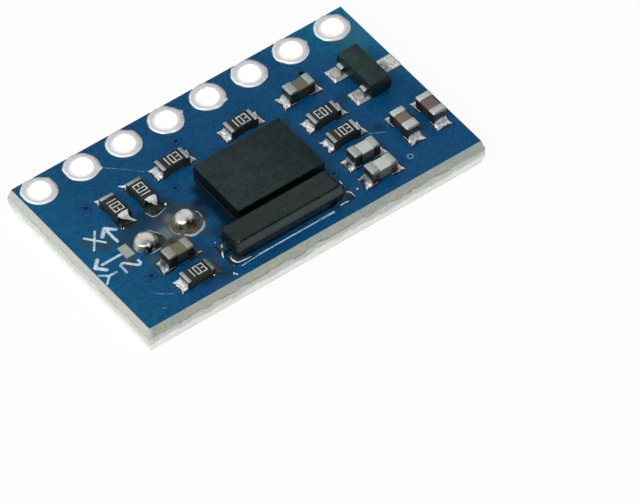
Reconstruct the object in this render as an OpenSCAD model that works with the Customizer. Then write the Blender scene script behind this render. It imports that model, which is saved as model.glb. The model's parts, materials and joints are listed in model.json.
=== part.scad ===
// Orientation sensor module: a small circuit board that was snapped out of a
// scored panel, with one row of plated header holes along its back edge. It
// carries a motion sensor chip, a clock crystal in a long moulded body, a
// three-lead voltage regulator, seven chip resistors, six chip capacitors and
// two solder jumpers. All sizes are in millimetres.
// The origin is the centre of the underside. X runs along the header row, Y
// runs towards it, and Z points up through the parts.

/* [Circuit board] */
// Length of the board's two faces, along the header row
board_l = 20; // [19.8:0.1:24]
// Width of the board's two faces, across the header row
board_w = 11.5; // [10.8:0.1:14]
// Thickness of the board over both mask films
board_t = 1.6; // [1.3:0.1:2.4]
// Depth of the scored groove along every edge, from either face
score_depth = 0.55; // [0.3:0.05:0.75]
// Angle of the scored groove's wall from upright
score_angle = 15; // [5:1:20]
// Thickness of the coloured mask film on either face
mask_t = 0.04; // [0.02:0.01:0.06]
// Gap between a land and the mask around it
mask_gap = 0.03; // [0.01:0.01:0.05]
// How far the tinned lands stand above the mask
land_rise = 0.03; // [0.01:0.01:0.06]
// Thickness of the solder film between a land and its part
solder_t = 0.03; // [0.01:0.01:0.06]

/* [Header holes] */
// Distance between neighbouring header holes
pin_pitch = 2.54; // [2:0.01:2.54]
// Bore of a plated header hole
hole_d = 1.04; // [0.9:0.02:1.2]
// Outer diameter of the tinned ring round a header hole
ring_d = 1.82; // [1.6:0.02:1.9]
// Width of the corner where a trace leaves a ring
corner_w = 0.3; // [0.2:0.01:0.36]
// How far such a corner stands out of its ring
corner_reach = 0.1; // [0.05:0.01:0.12]
// Distance from the row's line to the back edge of the board
row_margin = 0.89; // [0.8:0.01:1.5]
// Shift of the row's middle from the board's middle
row_shift = -0.09; // [-0.09:0.01:0.09]
// Thickness of the plating inside a drilled hole
plating_t = 0.03; // [0.02:0.01:0.05]

/* [Vias] */
// Bore of a via
via_d = 0.24; // [0.15:0.01:0.3]
// Outer diameter of a via's copper ring
via_ring_d = 0.56; // [0.45:0.01:0.65]
// Opening in the mask over a via that the mask has not closed
via_open_d = 0.34; // [0.32:0.01:0.4]
// Number of vias that the mask has left open on the top
open_vias = 2; // [0:1:7]

/* [Sensor chip] */
// Length of the sensor chip
sensor_l = 5.2; // [5:0.1:5.4]
// Width of the sensor chip
sensor_w = 3.8; // [3.6:0.1:3.9]
// Height of the sensor chip
sensor_h = 1.13; // [0.9:0.01:1.3]
// Thickness of the substrate under the sensor chip's moulded cap
substrate_t = 0.28; // [0.2:0.01:0.4]
// Distance between the sensor chip's contacts
contact_pitch = 0.5; // [0.4:0.01:0.5]
// Width of one contact
contact_w = 0.25; // [0.2:0.01:0.3]
// Length of one contact
contact_l = 0.475; // [0.35:0.005:0.5]

/* [Crystal] */
// Length of the crystal's moulded body at its parting line
crystal_l = 6.6; // [6.2:0.1:6.8]
// Width of the crystal's moulded body at its parting line
crystal_w = 1.52; // [1.4:0.02:1.6]
// Height of the crystal's moulded body
crystal_h = 1.28; // [1:0.02:1.4]
// Height of the parting line above the body's underside
crystal_part_h = 0.66; // [0.5:0.02:0.8]
// How far the crystal's flat terminals reach past the body
tab_reach = 0.2; // [0.15:0.01:0.35]
// Width of one flat terminal
tab_w = 0.5; // [0.4:0.02:0.56]
// Thickness of one flat terminal
tab_t = 0.14; // [0.1:0.01:0.2]

/* [Regulator] */
// Length of the regulator's moulded body
regulator_l = 2.9; // [2.7:0.05:3.1]
// Width of the regulator's moulded body
regulator_w = 1.3; // [1.2:0.05:1.4]
// Height of the regulator's moulded body
regulator_h = 0.95; // [0.9:0.05:1.1]
// Height of the body's underside above its feet
regulator_lift = 0.06; // [0.03:0.01:0.1]
// Span over the tips of the regulator's leads
lead_span = 2.42; // [2.3:0.02:2.6]
// Distance between the two leads on one side
lead_pitch = 1.9; // [1.7:0.05:2]
// Width of one lead
lead_w = 0.42; // [0.3:0.02:0.5]
// Thickness of one lead
lead_t = 0.13; // [0.1:0.01:0.18]
// Inner bend radius of a lead
lead_bend = 0.07; // [0.04:0.01:0.09]

/* [Chip resistors] */
// Length of a chip resistor
resistor_l = 1.6; // [1.5:0.05:1.7]
// Width of a chip resistor
resistor_w = 0.8; // [0.7:0.05:0.9]
// Thickness of a chip resistor, without its glass coat
resistor_h = 0.45; // [0.35:0.05:0.55]
// Reach of a resistor's terminal along its top and underside
resistor_wrap = 0.2; // [0.15:0.01:0.3]
// Thickness of the glass coat above the terminals
glass_rise = 0.02; // [0.01:0.01:0.04]

/* [Chip capacitors] */
// Length of a chip capacitor
capacitor_l = 1.55; // [1.5:0.05:1.7]
// Width of a chip capacitor
capacitor_w = 0.8; // [0.7:0.05:0.85]
// Height of a chip capacitor
capacitor_h = 0.8; // [0.7:0.05:0.9]
// Reach of a capacitor's terminal cap along its body
capacitor_wrap = 0.4; // [0.3:0.01:0.5]
// Bevel along a capacitor's edges
capacitor_bevel = 0.07; // [0.04:0.01:0.1]
// Thickness of a terminal's metal
metal_t = 0.03; // [0.02:0.01:0.04]

/* [Solder] */
// Reach of a land past the end of its chip part
land_toe = 0.38; // [0.3:0.02:0.45]
// Length of a chip part's land
land_l = 0.76; // [0.65:0.01:0.85]
// How much wider a land is than its part, on either side
land_side = 0.05; // [0.02:0.01:0.08]
// Share of a resistor's height that its solder climbs
resistor_climb = 0.7; // [0.4:0.05:0.9]
// Share of a capacitor's height that its solder climbs
capacitor_climb = 0.5; // [0.3:0.05:0.7]
// Width of a solder jumper across its dome
jumper_d = 1.2; // [1:0.05:1.3]
// Height of a solder jumper's dome above its lands
jumper_h = 0.5; // [0.35:0.05:0.58]

/* [Hidden] */
$fn = 48;

// Where each part stands on the board: x, y and its turn in degrees
right_x = 4.8;
resistor_places = [
    [-6.88, 1.4, -90], [-5.25, 1.42, 90], [-2.9, 2.17, 0], [1.25, 2.17, 0],
    [right_x, 0.13, 180], [right_x, -1.48, 0], [-6.24, -4.52, 0]
];
capacitor_places = [
    [right_x, 2.17, 0], [right_x, -3.16, 0], [right_x, -4.56, 0],
    [-6.28, -2.97, 0], [7.53, -2.86, 90], [9.14, -2.85, 90]
];
// How much further the caps on each capacitor's two ends reach than usual
capacitor_more_wrap = [
    [0, 0.08], [0, 0.04], [0, 0.05], [0.05, 0.1], [0.02, 0.12], [0, 0.02]
];
jumper_places = [[-6.88, -1.22, 0], [-4.52, -1.22, 0]];
via_places = [
    [5.77, 3.28, 0], [6.65, -4.49, 0], [-3.64, 0.9, 0], [-7.92, -3.06, 0],
    [-7.87, 2.48, 0], [-1.79, 3.4, 0], [3.02, -3.1, 0]
];
sensor_place = [-0.1, -1.22, 0];
crystal_place = [-0.8, -4.25, 0];
regulator_place = [8.03, 1.17, 0];
// How far a part has slipped off the middle of its lands, along X and Y
crystal_slip = [-0.12, 0];
regulator_slip = [-0.05, -0.1];
bare_land_place = [-7.97, -1.01, 0];

// Heights of the board's layers and of what stands on them
core_top = board_t - mask_t;
land_top = board_t + land_rise;
seat = land_top + solder_t;
// A small extra that carries each cutter clear of the faces it cuts
over = 1;

// Header row
hole_count = 8;
row_y = board_w / 2 - row_margin;
barrel_d = hole_d + 2 * plating_t;
drill_gap = 0.01;
function hole_x(i) = row_shift + (i - (hole_count + 1) / 2) * pin_pitch;
// Rings that a trace leaves on the top: the hole's number and the trace's direction
ring_traces = [[2, -43], [4, 0], [5, -48], [7, 0]];
// Flange of a via, let into the laminate's faces
via_flange_t = 0.035;

// Contacts along the sensor chip's long and short sides
long_contacts = 10;
short_contacts = 4;
contact_inset = 0.06;

// The crystal's draft, its terminals and their lands
crystal_side_draft = 0.09;
crystal_end_draft = 0.22;
tab_root = 0.5;
tab_inset = 0.06;
tab_line = crystal_w / 2 - tab_w / 2 - tab_inset;
crystal_land_l = 1.16;
crystal_land_side = 0.07;
crystal_land_w = tab_w + 2 * crystal_land_side;
crystal_land_toe = 0.2;
crystal_land_x = crystal_l / 2 + tab_reach + crystal_land_toe - crystal_land_l / 2;

// The regulator's draft, the reach of its leads and their lands
regulator_draft = 0.07;
regulator_part_h = regulator_h / 2;
lead_top = regulator_lift + regulator_part_h + lead_t / 2;
lead_root = 0.25;
// A lead runs this far out of the body before it bends down
lead_straight = 0.03;
lead_land_l = 0.82;
lead_land_w = 0.9;
lead_toe = 0.17;
// Share of a lead's thickness that the solder climbs at its tip
lead_climb = 0.8;
lead_land_x = lead_span / 2 + lead_toe - lead_land_l / 2;
edge_land_w = 0.92;

// Jumper lands and the bare land beside them
jumper_land_l = 0.5;
jumper_land_w = 0.82;
jumper_land_gap = 0.14;
// Solder keeps this far inside the edge of its land
solder_inset = 0.02;

// A point on a circle's arc, and an arc of points between two angles
function on_arc(centre, r, a) = [centre[0] + r * cos(a), centre[1] + r * sin(a)];
function arc(centre, r, a0, a1, steps = 6) =
    [for (i = [0:steps]) on_arc(centre, r, a0 + (a1 - a0) * i / steps)];

// Carries a part from the origin to its place on the board
module at(place)
    translate([place[0], place[1], 0]) rotate(place[2]) children();

// Prism of an outline that is drawn across X and up Z, centred on Y
module along_y(depth)
    rotate([90, 0, 0]) linear_extrude(height = depth, center = true) children();

// Prism of an outline that is drawn across Y and up Z, centred on X
module along_x(depth)
    rotate([90, 0, 90]) linear_extrude(height = depth, center = true) children();

// Section of a scored and snapped board: a groove's wall above and below a web
module scored_section(span) {
    web_out = score_depth * tan(score_angle);
    polygon([
        [-span / 2, 0], [span / 2, 0],
        [span / 2 + web_out, score_depth], [span / 2 + web_out, board_t - score_depth],
        [span / 2, board_t], [-span / 2, board_t],
        [-span / 2 - web_out, board_t - score_depth], [-span / 2 - web_out, score_depth]
    ]);
}

// The board between two heights
module board_layer(low, high)
    intersection() {
        along_y(board_w + 2 * over) scored_section(board_l);
        along_x(board_l + 2 * over) scored_section(board_w);
        translate([-board_l, -board_w, low]) cube([2 * board_l, 2 * board_w, high - low]);
    }

// A moulded block, widest at its parting line, with a draft above and below
module moulded_section(span, h, part_h, draft)
    polygon([
        [-span / 2 + draft, 0], [span / 2 - draft, 0], [span / 2, part_h],
        [span / 2 - draft, h], [-span / 2 + draft, h], [-span / 2, part_h]
    ]);

module moulded_block(l, w, h, part_h, end_draft, side_draft)
    intersection() {
        along_y(w + over) moulded_section(l, h, part_h, end_draft);
        along_x(l + over) moulded_section(w, h, part_h, side_draft);
    }

// Outline of a pair of lands under a chip part that lies along X
module chip_lands(part_l, part_w, grow)
    for (side = [-1, 1])
        translate([side * (part_l / 2 + land_toe - land_l / 2), 0])
            square([land_l + 2 * grow, part_w + 2 * land_side + 2 * grow], center = true);

// Places of the sensor chip's contacts: x, y and turn
function row_of(count, i) = (i - (count - 1) / 2) * contact_pitch;
contact_x = sensor_l / 2 - contact_inset - contact_l / 2;
contact_y = sensor_w / 2 - contact_inset - contact_l / 2;
contact_places = concat(
    [for (i = [0:long_contacts - 1], s = [-1, 1]) [row_of(long_contacts, i), s * contact_y, 90]],
    [for (i = [0:short_contacts - 1], s = [-1, 1]) [s * contact_x, row_of(short_contacts, i), 0]]
);

module sensor_contacts(grow)
    for (place = contact_places)
        translate([place[0], place[1]]) rotate(place[2])
            square([contact_l + 2 * grow, contact_w + 2 * grow], center = true);

module crystal_lands(grow)
    for (x = [-1, 1], y = [-1, 1])
        translate([x * crystal_land_x, y * tab_line])
            square([crystal_land_l + 2 * grow, crystal_land_w + 2 * grow], center = true);

// Two lands on the left, and one on the right that runs to the board's edge
module regulator_lands(grow) {
    for (y = [-1, 1])
        translate([-lead_land_x, y * lead_pitch / 2])
            square([lead_land_l + 2 * grow, lead_land_w + 2 * grow], center = true);
    inner = lead_land_x - lead_land_l / 2;
    outer = board_l / 2 - regulator_place[0];
    translate([inner - grow, -edge_land_w / 2 - grow])
        square([outer - inner + 2 * grow, edge_land_w + 2 * grow]);
}

module jumper_lands(grow)
    for (x = [-1, 1])
        translate([x * (jumper_land_l + jumper_land_gap) / 2, 0])
            square([jumper_land_l + 2 * grow, jumper_land_w + 2 * grow], center = true);

// Every land on the board's top, each outline grown by the same amount
module land_outlines(grow = 0) {
    for (place = resistor_places) at(place) chip_lands(resistor_l, resistor_w, grow);
    for (place = capacitor_places) at(place) chip_lands(capacitor_l, capacitor_w, grow);
    for (place = jumper_places) at(place) jumper_lands(grow);
    at(sensor_place) sensor_contacts(grow);
    at(crystal_place) crystal_lands(grow);
    at(regulator_place) regulator_lands(grow);
    at(bare_land_place) square([jumper_land_l + 2 * grow, jumper_land_w + 2 * grow], center = true);
}

module header_drills(d)
    for (i = [1:hole_count])
        translate([hole_x(i), row_y, -over]) cylinder(d = d, h = board_t + 2 * over);

// Corners that stand out of a ring on the top, where its traces leave it
module ring_corners(i, grow = 0)
    for (trace = ring_traces)
        if (trace[0] == i)
            rotate(trace[1])
                translate([ring_d / 2 + corner_reach - corner_w / sqrt(2), 0])
                    rotate(45) square(corner_w + 2 * grow, center = true);

module via_drills(d, count = len(via_places))
    for (i = [0:1:count - 1])
        at(via_places[i]) translate([0, 0, -over]) cylinder(d = d, h = board_t + 2 * over);

// Barrel of a via with a flange at each face of the laminate
module via_solid(grow = 0) {
    translate([0, 0, mask_t - grow])
        cylinder(d = via_d + 2 * plating_t + 2 * grow, h = core_top - mask_t + 2 * grow);
    for (z = [mask_t - grow, core_top - via_flange_t])
        translate([0, 0, z]) cylinder(d = via_ring_d + 2 * grow, h = via_flange_t + grow);
}

module laminate()
    color([0.66, 0.68, 0.58])
    difference() {
        board_layer(mask_t, core_top);
        header_drills(barrel_d + 2 * drill_gap);
        for (place = via_places) at(place) via_solid(drill_gap);
    }

module bottom_mask()
    color([0.05, 0.22, 0.48])
    difference() {
        board_layer(0, mask_t);
        header_drills(ring_d + 2 * mask_gap);
        via_drills(via_d);
    }

module top_mask()
    color([0.05, 0.25, 0.5])
    difference() {
        board_layer(core_top, board_t);
        header_drills(ring_d + 2 * mask_gap);
        via_drills(via_open_d, open_vias);
        translate([0, 0, core_top - over])
            linear_extrude(height = mask_t + 2 * over) {
                land_outlines(mask_gap);
                for (i = [1:hole_count])
                    translate([hole_x(i), row_y]) ring_corners(i, mask_gap);
            }
    }

// A ring on one face of the board, cut off where it would pass the back edge
module header_ring(low, high)
    intersection() {
        translate([0, 0, low]) cylinder(d = ring_d, h = high - low);
        translate([-ring_d, -ring_d, low - over])
            cube([2 * ring_d, ring_d + row_margin, high - low + 2 * over]);
    }

module header_hole(i)
    color([0.86, 0.86, 0.84])
    translate([hole_x(i), row_y, 0])
    difference() {
        union() {
            cylinder(d = barrel_d, h = land_top);
            header_ring(0, mask_t);
            header_ring(core_top, land_top);
            translate([0, 0, core_top])
                linear_extrude(height = land_top - core_top) ring_corners(i);
        }
        translate([0, 0, -over]) cylinder(d = hole_d, h = board_t + 3 * over);
    }

module vias()
    color([0.75, 0.55, 0.35])
    for (place = via_places)
        at(place)
            difference() {
                via_solid();
                translate([0, 0, -over]) cylinder(d = via_d, h = board_t + 2 * over);
            }

module solder_lands()
    color([0.8, 0.8, 0.76])
    translate([0, 0, core_top])
        linear_extrude(height = land_top - core_top) land_outlines();

module sensor_cap()
    color([0.16, 0.19, 0.19])
    at(sensor_place)
        translate([-sensor_l / 2, -sensor_w / 2, seat + substrate_t])
            cube([sensor_l, sensor_w, sensor_h - substrate_t]);

module sensor_substrate()
    color([0.08, 0.13, 0.11])
    at(sensor_place)
        translate([-sensor_l / 2, -sensor_w / 2, seat])
            cube([sensor_l, sensor_w, substrate_t]);

module sensor_joints()
    color([0.75, 0.76, 0.76])
    at(sensor_place)
        translate([0, 0, land_top])
            linear_extrude(height = solder_t) sensor_contacts(-solder_inset);

// The crystal's four flat terminals, flush with the underside of its body
module crystal_tabs()
    for (x = [-1, 1], y = [-1, 1])
        translate([x * (crystal_l / 2 + tab_reach / 2 - tab_root / 2), y * tab_line, tab_t / 2])
            cube([tab_reach + tab_root, tab_w, tab_t], center = true);

module crystal_body()
    color([0.18, 0.2, 0.21])
    at(crystal_place) translate([crystal_slip[0], crystal_slip[1], seat])
    difference() {
        moulded_block(crystal_l, crystal_w, crystal_h, crystal_part_h,
            crystal_end_draft, crystal_side_draft);
        crystal_tabs();
    }

module crystal_terminals()
    color([0.78, 0.78, 0.76])
    at(crystal_place) translate([crystal_slip[0], crystal_slip[1], seat]) crystal_tabs();

// Solder under a terminal, with a hollow fillet up its end face
module crystal_solder()
    color([0.82, 0.83, 0.83])
    at(crystal_place) translate([0, 0, land_top]) {
        linear_extrude(height = solder_t) crystal_lands(-solder_inset);
        toe_x = crystal_land_x + crystal_land_l / 2 - solder_inset;
        for (y = [-1, 1], side = [-1, 1]) {
            end_x = crystal_l / 2 + tab_reach + side * crystal_slip[0];
            translate([0, crystal_slip[1], 0])
                rotate(side > 0 ? 0 : 180) translate([end_x, y * tab_line, 0])
                    fillet(toe_x - end_x, solder_t + tab_t,
                        crystal_land_w - 2 * solder_inset - 2 * abs(crystal_slip[1]), tab_w);
        }
    }

// A hollow fillet against a wall at x = 0: it thins towards its toe, and its
// sides lean in from the width of the land to the width of the part
module fillet(reach, climb, foot_w, head_w)
    intersection() {
        along_y(foot_w + over)
            polygon(concat(
                [[0, 0]],
                [for (i = [0:6]) [reach * (1 - sin(15 * i)), climb * (1 - cos(15 * i))]]
            ));
        along_x(2 * reach + over)
            polygon([
                [-foot_w / 2, 0], [foot_w / 2, 0],
                [head_w / 2, climb], [-head_w / 2, climb]
            ]);
    }

// Side view of a gull-wing lead: out of the body, down, and out again to its tip
module lead_section(body_half, grow = 0) {
    knee = body_half + lead_straight;
    top_c = [knee, lead_top - lead_t - lead_bend];
    low_c = [knee + 2 * lead_bend + lead_t, lead_t + lead_bend];
    polygon(concat(
        [[body_half - lead_root, lead_top]],
        arc(top_c, lead_bend + lead_t, 90, 0),
        arc(low_c, lead_bend, 180, 270),
        [[lead_span / 2, lead_t], [lead_span / 2, 0]],
        arc(low_c, lead_bend + lead_t, 270, 180),
        arc(top_c, lead_bend, 0, 90),
        [[body_half - lead_root, lead_top - lead_t]]
    ));
}

// Lead places: turn and shift along the body
lead_places = [[180, -lead_pitch / 2], [180, lead_pitch / 2], [0, 0]];

module regulator_leads()
    color([0.78, 0.78, 0.76])
    at(regulator_place) translate([regulator_slip[0], regulator_slip[1], seat])
        for (lead = lead_places)
            rotate(lead[0]) translate([0, lead[1], 0])
                along_y(lead_w) lead_section(regulator_w / 2);

module regulator_body()
    color([0.17, 0.2, 0.19])
    at(regulator_place) translate([regulator_slip[0], regulator_slip[1], seat])
    difference() {
        translate([0, 0, regulator_lift])
            moulded_block(regulator_w, regulator_l, regulator_h, regulator_part_h,
                regulator_draft, regulator_draft);
        for (lead = lead_places)
            rotate(lead[0])
                translate([regulator_w / 2 - lead_root, lead[1] - lead_w / 2, lead_top - lead_t])
                    cube([lead_root + over, lead_w, lead_t]);
    }

// Solder under each foot, with a fillet at its tip
module regulator_solder()
    color([0.82, 0.83, 0.83])
    at(regulator_place) translate([0, 0, land_top]) {
        linear_extrude(height = solder_t) regulator_lands(-solder_inset);
        toe_x = lead_span / 2 + lead_toe - solder_inset;
        for (lead = lead_places) {
            side = lead[0] == 0 ? 1 : -1;
            tip_x = lead_span / 2 + side * regulator_slip[0];
            rotate(lead[0]) translate([tip_x, lead[1] + side * regulator_slip[1], 0])
                fillet(toe_x - tip_x, solder_t + lead_climb * lead_t,
                    lead_land_w - 2 * solder_inset - 2 * abs(regulator_slip[1]), lead_w);
        }
    }

// A dome of solder that bridges a pair of jumper lands
module jumper(i) {
    ball_r = (pow(jumper_d / 2, 2) + pow(jumper_h, 2)) / (2 * jumper_h);
    color([0.84, 0.84, 0.83])
    at(jumper_places[i]) translate([0, 0, land_top])
    intersection() {
        translate([0, 0, jumper_h - ball_r]) sphere(r = ball_r);
        translate([-jumper_d, -jumper_d, 0]) cube([2 * jumper_d, 2 * jumper_d, 2 * jumper_d]);
    }
}

// Ceramic chip with a glass coat between its two terminals
module resistor(i) {
    l = resistor_l / 2;
    color([0.1, 0.1, 0.1])
    at(resistor_places[i]) translate([0, 0, seat])
        along_y(resistor_w)
            polygon([
                [-l + resistor_wrap, 0], [l - resistor_wrap, 0],
                [l - resistor_wrap, metal_t], [l - metal_t, metal_t],
                [l - metal_t, resistor_h - metal_t], [l - resistor_wrap, resistor_h - metal_t],
                [l - resistor_wrap, resistor_h + glass_rise],
                [-l + resistor_wrap, resistor_h + glass_rise],
                [-l + resistor_wrap, resistor_h - metal_t], [-l + metal_t, resistor_h - metal_t],
                [-l + metal_t, metal_t], [-l + resistor_wrap, metal_t]
            ]);
}

// Metal that wraps from the top over the end to the underside
module resistor_terminals(i)
    color([0.8, 0.8, 0.78])
    at(resistor_places[i]) translate([0, 0, seat])
        for (side = [0, 1])
            mirror([side, 0, 0])
                along_y(resistor_w)
                    polygon([
                        [resistor_l / 2 - resistor_wrap, 0], [resistor_l / 2, 0],
                        [resistor_l / 2, resistor_h], [resistor_l / 2 - resistor_wrap, resistor_h],
                        [resistor_l / 2 - resistor_wrap, resistor_h - metal_t],
                        [resistor_l / 2 - metal_t, resistor_h - metal_t],
                        [resistor_l / 2 - metal_t, metal_t],
                        [resistor_l / 2 - resistor_wrap, metal_t]
                    ]);

// A rectangle from z = inset up, with its four corners cut off
module bevelled_section(span, h, inset) {
    s = span / 2 - inset;
    cut = capacitor_bevel;
    polygon([
        [-s + cut, inset], [s - cut, inset], [s, inset + cut], [s, h - inset - cut],
        [s - cut, h - inset], [-s + cut, h - inset], [-s, h - inset - cut], [-s, inset + cut]
    ]);
}

// Block with bevelled edges; inset takes the thickness of a terminal off it
module capacitor_block(inset)
    intersection() {
        along_y(capacitor_w + over) bevelled_section(capacitor_l, capacitor_h, inset);
        along_x(capacitor_l + over) bevelled_section(capacitor_w, capacitor_h, inset);
        linear_extrude(height = capacitor_h)
            translate([0, -capacitor_w / 2])
                bevelled_section(capacitor_l, capacitor_w, inset);
    }

module capacitor(i)
    color(i < 1 || i > 2 ? [0.5, 0.42, 0.36] : [0.66, 0.67, 0.64])
    at(capacitor_places[i]) translate([0, 0, seat]) capacitor_block(metal_t);

// A metal cap over each end of the ceramic block
module capacitor_terminals(i)
    color([0.8, 0.8, 0.78])
    at(capacitor_places[i]) translate([0, 0, seat])
        for (side = [0, 1])
            mirror([side, 0, 0])
                difference() {
                    reach = capacitor_wrap + capacitor_more_wrap[i][side];
                    intersection() {
                        capacitor_block(0);
                        translate([capacitor_l / 2 - reach, -capacitor_w, -over])
                            cube([capacitor_l, 2 * capacitor_w, capacitor_h + 2 * over]);
                    }
                    capacitor_block(metal_t);
                }

// Solder of a chip part: a film on both lands and a fillet up each end
module chip_solder(part_l, part_w, climb)
    translate([0, 0, land_top]) {
        linear_extrude(height = solder_t) chip_lands(part_l, part_w, -solder_inset);
        for (turn = [0, 180])
            rotate(turn) translate([part_l / 2, 0, 0])
                fillet(land_toe - solder_inset, solder_t + climb,
                    part_w + 2 * land_side - 2 * solder_inset, part_w - 2 * solder_inset);
    }

module resistor_solder()
    color([0.82, 0.83, 0.83])
    for (place = resistor_places)
        at(place) chip_solder(resistor_l, resistor_w, resistor_climb * resistor_h);

module capacitor_solder()
    color([0.82, 0.83, 0.83])
    for (place = capacitor_places)
        at(place) chip_solder(capacitor_l, capacitor_w, capacitor_climb * capacitor_h);

laminate();
top_mask();
bottom_mask();
header_hole(1);  // header_hole_1
header_hole(2);  // header_hole_2
header_hole(3);  // header_hole_3
header_hole(4);  // header_hole_4
header_hole(5);  // header_hole_5
header_hole(6);  // header_hole_6
header_hole(7);  // header_hole_7
header_hole(8);  // header_hole_8
vias();
solder_lands();
sensor_cap();
sensor_substrate();
sensor_joints();
crystal_body();
crystal_terminals();
crystal_solder();
regulator_body();
regulator_leads();
regulator_solder();
jumper(0);  // jumper_1
jumper(1);  // jumper_2
resistor(0);  // resistor_1
resistor(1);  // resistor_2
resistor(2);  // resistor_3
resistor(3);  // resistor_4
resistor(4);  // resistor_5
resistor(5);  // resistor_6
resistor(6);  // resistor_7
resistor_terminals(0);  // resistor_1_terminals
resistor_terminals(1);  // resistor_2_terminals
resistor_terminals(2);  // resistor_3_terminals
resistor_terminals(3);  // resistor_4_terminals
resistor_terminals(4);  // resistor_5_terminals
resistor_terminals(5);  // resistor_6_terminals
resistor_terminals(6);  // resistor_7_terminals
resistor_solder();
capacitor(0);  // capacitor_1
capacitor(1);  // capacitor_2
capacitor(2);  // capacitor_3
capacitor(3);  // capacitor_4
capacitor(4);  // capacitor_5
capacitor(5);  // capacitor_6
capacitor_terminals(0);  // capacitor_1_terminals
capacitor_terminals(1);  // capacitor_2_terminals
capacitor_terminals(2);  // capacitor_3_terminals
capacitor_terminals(3);  // capacitor_4_terminals
capacitor_terminals(4);  // capacitor_5_terminals
capacitor_terminals(5);  // capacitor_6_terminals
capacitor_solder();
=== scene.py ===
# %% [markdown]
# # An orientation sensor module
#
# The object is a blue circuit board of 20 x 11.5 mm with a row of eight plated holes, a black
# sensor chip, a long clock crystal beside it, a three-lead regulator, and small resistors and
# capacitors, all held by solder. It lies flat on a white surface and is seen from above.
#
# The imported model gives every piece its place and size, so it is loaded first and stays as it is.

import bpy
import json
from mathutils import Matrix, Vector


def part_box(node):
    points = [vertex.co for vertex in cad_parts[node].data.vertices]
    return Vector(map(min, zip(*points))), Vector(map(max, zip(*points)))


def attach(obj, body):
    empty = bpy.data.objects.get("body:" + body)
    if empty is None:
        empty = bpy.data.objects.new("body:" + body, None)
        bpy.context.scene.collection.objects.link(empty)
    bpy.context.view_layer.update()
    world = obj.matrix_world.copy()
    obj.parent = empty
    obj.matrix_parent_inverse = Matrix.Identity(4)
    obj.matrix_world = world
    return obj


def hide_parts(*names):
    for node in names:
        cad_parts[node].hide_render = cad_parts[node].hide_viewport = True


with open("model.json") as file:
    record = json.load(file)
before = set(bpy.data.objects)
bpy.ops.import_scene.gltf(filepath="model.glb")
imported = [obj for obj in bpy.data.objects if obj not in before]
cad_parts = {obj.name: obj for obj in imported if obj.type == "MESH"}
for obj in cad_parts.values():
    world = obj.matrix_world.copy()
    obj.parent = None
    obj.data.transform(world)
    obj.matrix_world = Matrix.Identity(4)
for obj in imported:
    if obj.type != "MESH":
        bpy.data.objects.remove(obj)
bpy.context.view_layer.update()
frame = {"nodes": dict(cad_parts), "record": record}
print("loaded", len(frame["nodes"]), "nodes")

# %% [markdown]
# ## Units and measuring
#
# The board is tiny, and Blender's tools have limits such as a merge distance of a tenth of a
# millimetre, written for large objects. Each new piece is therefore modelled in millimetres, in
# numbers of about 1, and its mesh is turned into metres at the end. Sizes are read from the CAD
# nodes. A node such as the lands holds many separate solids, so a second helper walks from each
# vertex to its neighbours and returns the box of each solid.

# %% Measure the CAD nodes in millimetres
import json
import math

import bmesh
import bpy
from mathutils import Matrix, Vector, noise

MM = 0.001


def box_mm(node):
    """Lowest and highest corner of a CAD node, in millimetres."""
    low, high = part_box(node)
    return low / MM, high / MM


def shells(node):
    """The box of each separate solid of a CAD node, in millimetres, from left to right."""
    mesh = bmesh.new()
    mesh.from_mesh(frame["nodes"][node].data)
    bmesh.ops.remove_doubles(mesh, verts=mesh.verts, dist=1e-8)
    left = set(mesh.verts)
    found = []
    while left:
        edge_of_walk = [left.pop()]
        solid = list(edge_of_walk)
        while edge_of_walk:
            vertex = edge_of_walk.pop()
            for edge in vertex.link_edges:
                other = edge.other_vert(vertex)
                if other in left:
                    left.remove(other)
                    edge_of_walk.append(other)
                    solid.append(other)
        spots = [v.co / MM for v in solid]
        low = Vector([min(s[axis] for s in spots) for axis in range(3)])
        high = Vector([max(s[axis] for s in spots) for axis in range(3)])
        found.append((low, high))
    mesh.free()
    return sorted(found, key=lambda solid: (round(solid[0].x, 3), round(solid[0].y, 3)))


board_low, board_high = box_mm("laminate")
mask_high = box_mm("top_mask")[1]
mask_top = mask_high.z
land_top = box_mm("solder_lands")[1].z
lands = shells("solder_lands")
print("board", [round(v, 3) for v in board_high - board_low], "mm, lands", len(lands))

# %% [markdown]
# ## Tools for modelling
#
# Blender's operators act on whatever is selected, so one helper always leaves a single piece
# selected and another opens it for editing. A third picks vertices by their place or edges by
# their direction, as a hand would pick them on the screen. The others apply a modifier and settle
# a finished piece: its millimetres become metres, and it gets its finish and is tied to the board.

# %% Select and edit a piece


def clear_selection():
    """Leaves edit mode with nothing selected."""
    if bpy.context.object and bpy.context.object.mode != "OBJECT":
        bpy.ops.object.mode_set(mode="OBJECT")
    bpy.ops.object.select_all(action="DESELECT")


def solo(piece):
    """Leaves edit mode and selects one piece alone."""
    clear_selection()
    piece.select_set(True)
    bpy.context.view_layer.objects.active = piece


def edit(piece):
    """Opens one piece for editing with all of it selected."""
    solo(piece)
    bpy.ops.object.mode_set(mode="EDIT")
    bpy.ops.mesh.select_all(action="SELECT")


def begin(name, add, **settings):
    """Adds a primitive, names it and opens it for editing."""
    clear_selection()
    add(**settings)
    piece = bpy.context.object
    piece.name = name
    piece.data.name = name
    edit(piece)
    return piece


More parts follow.
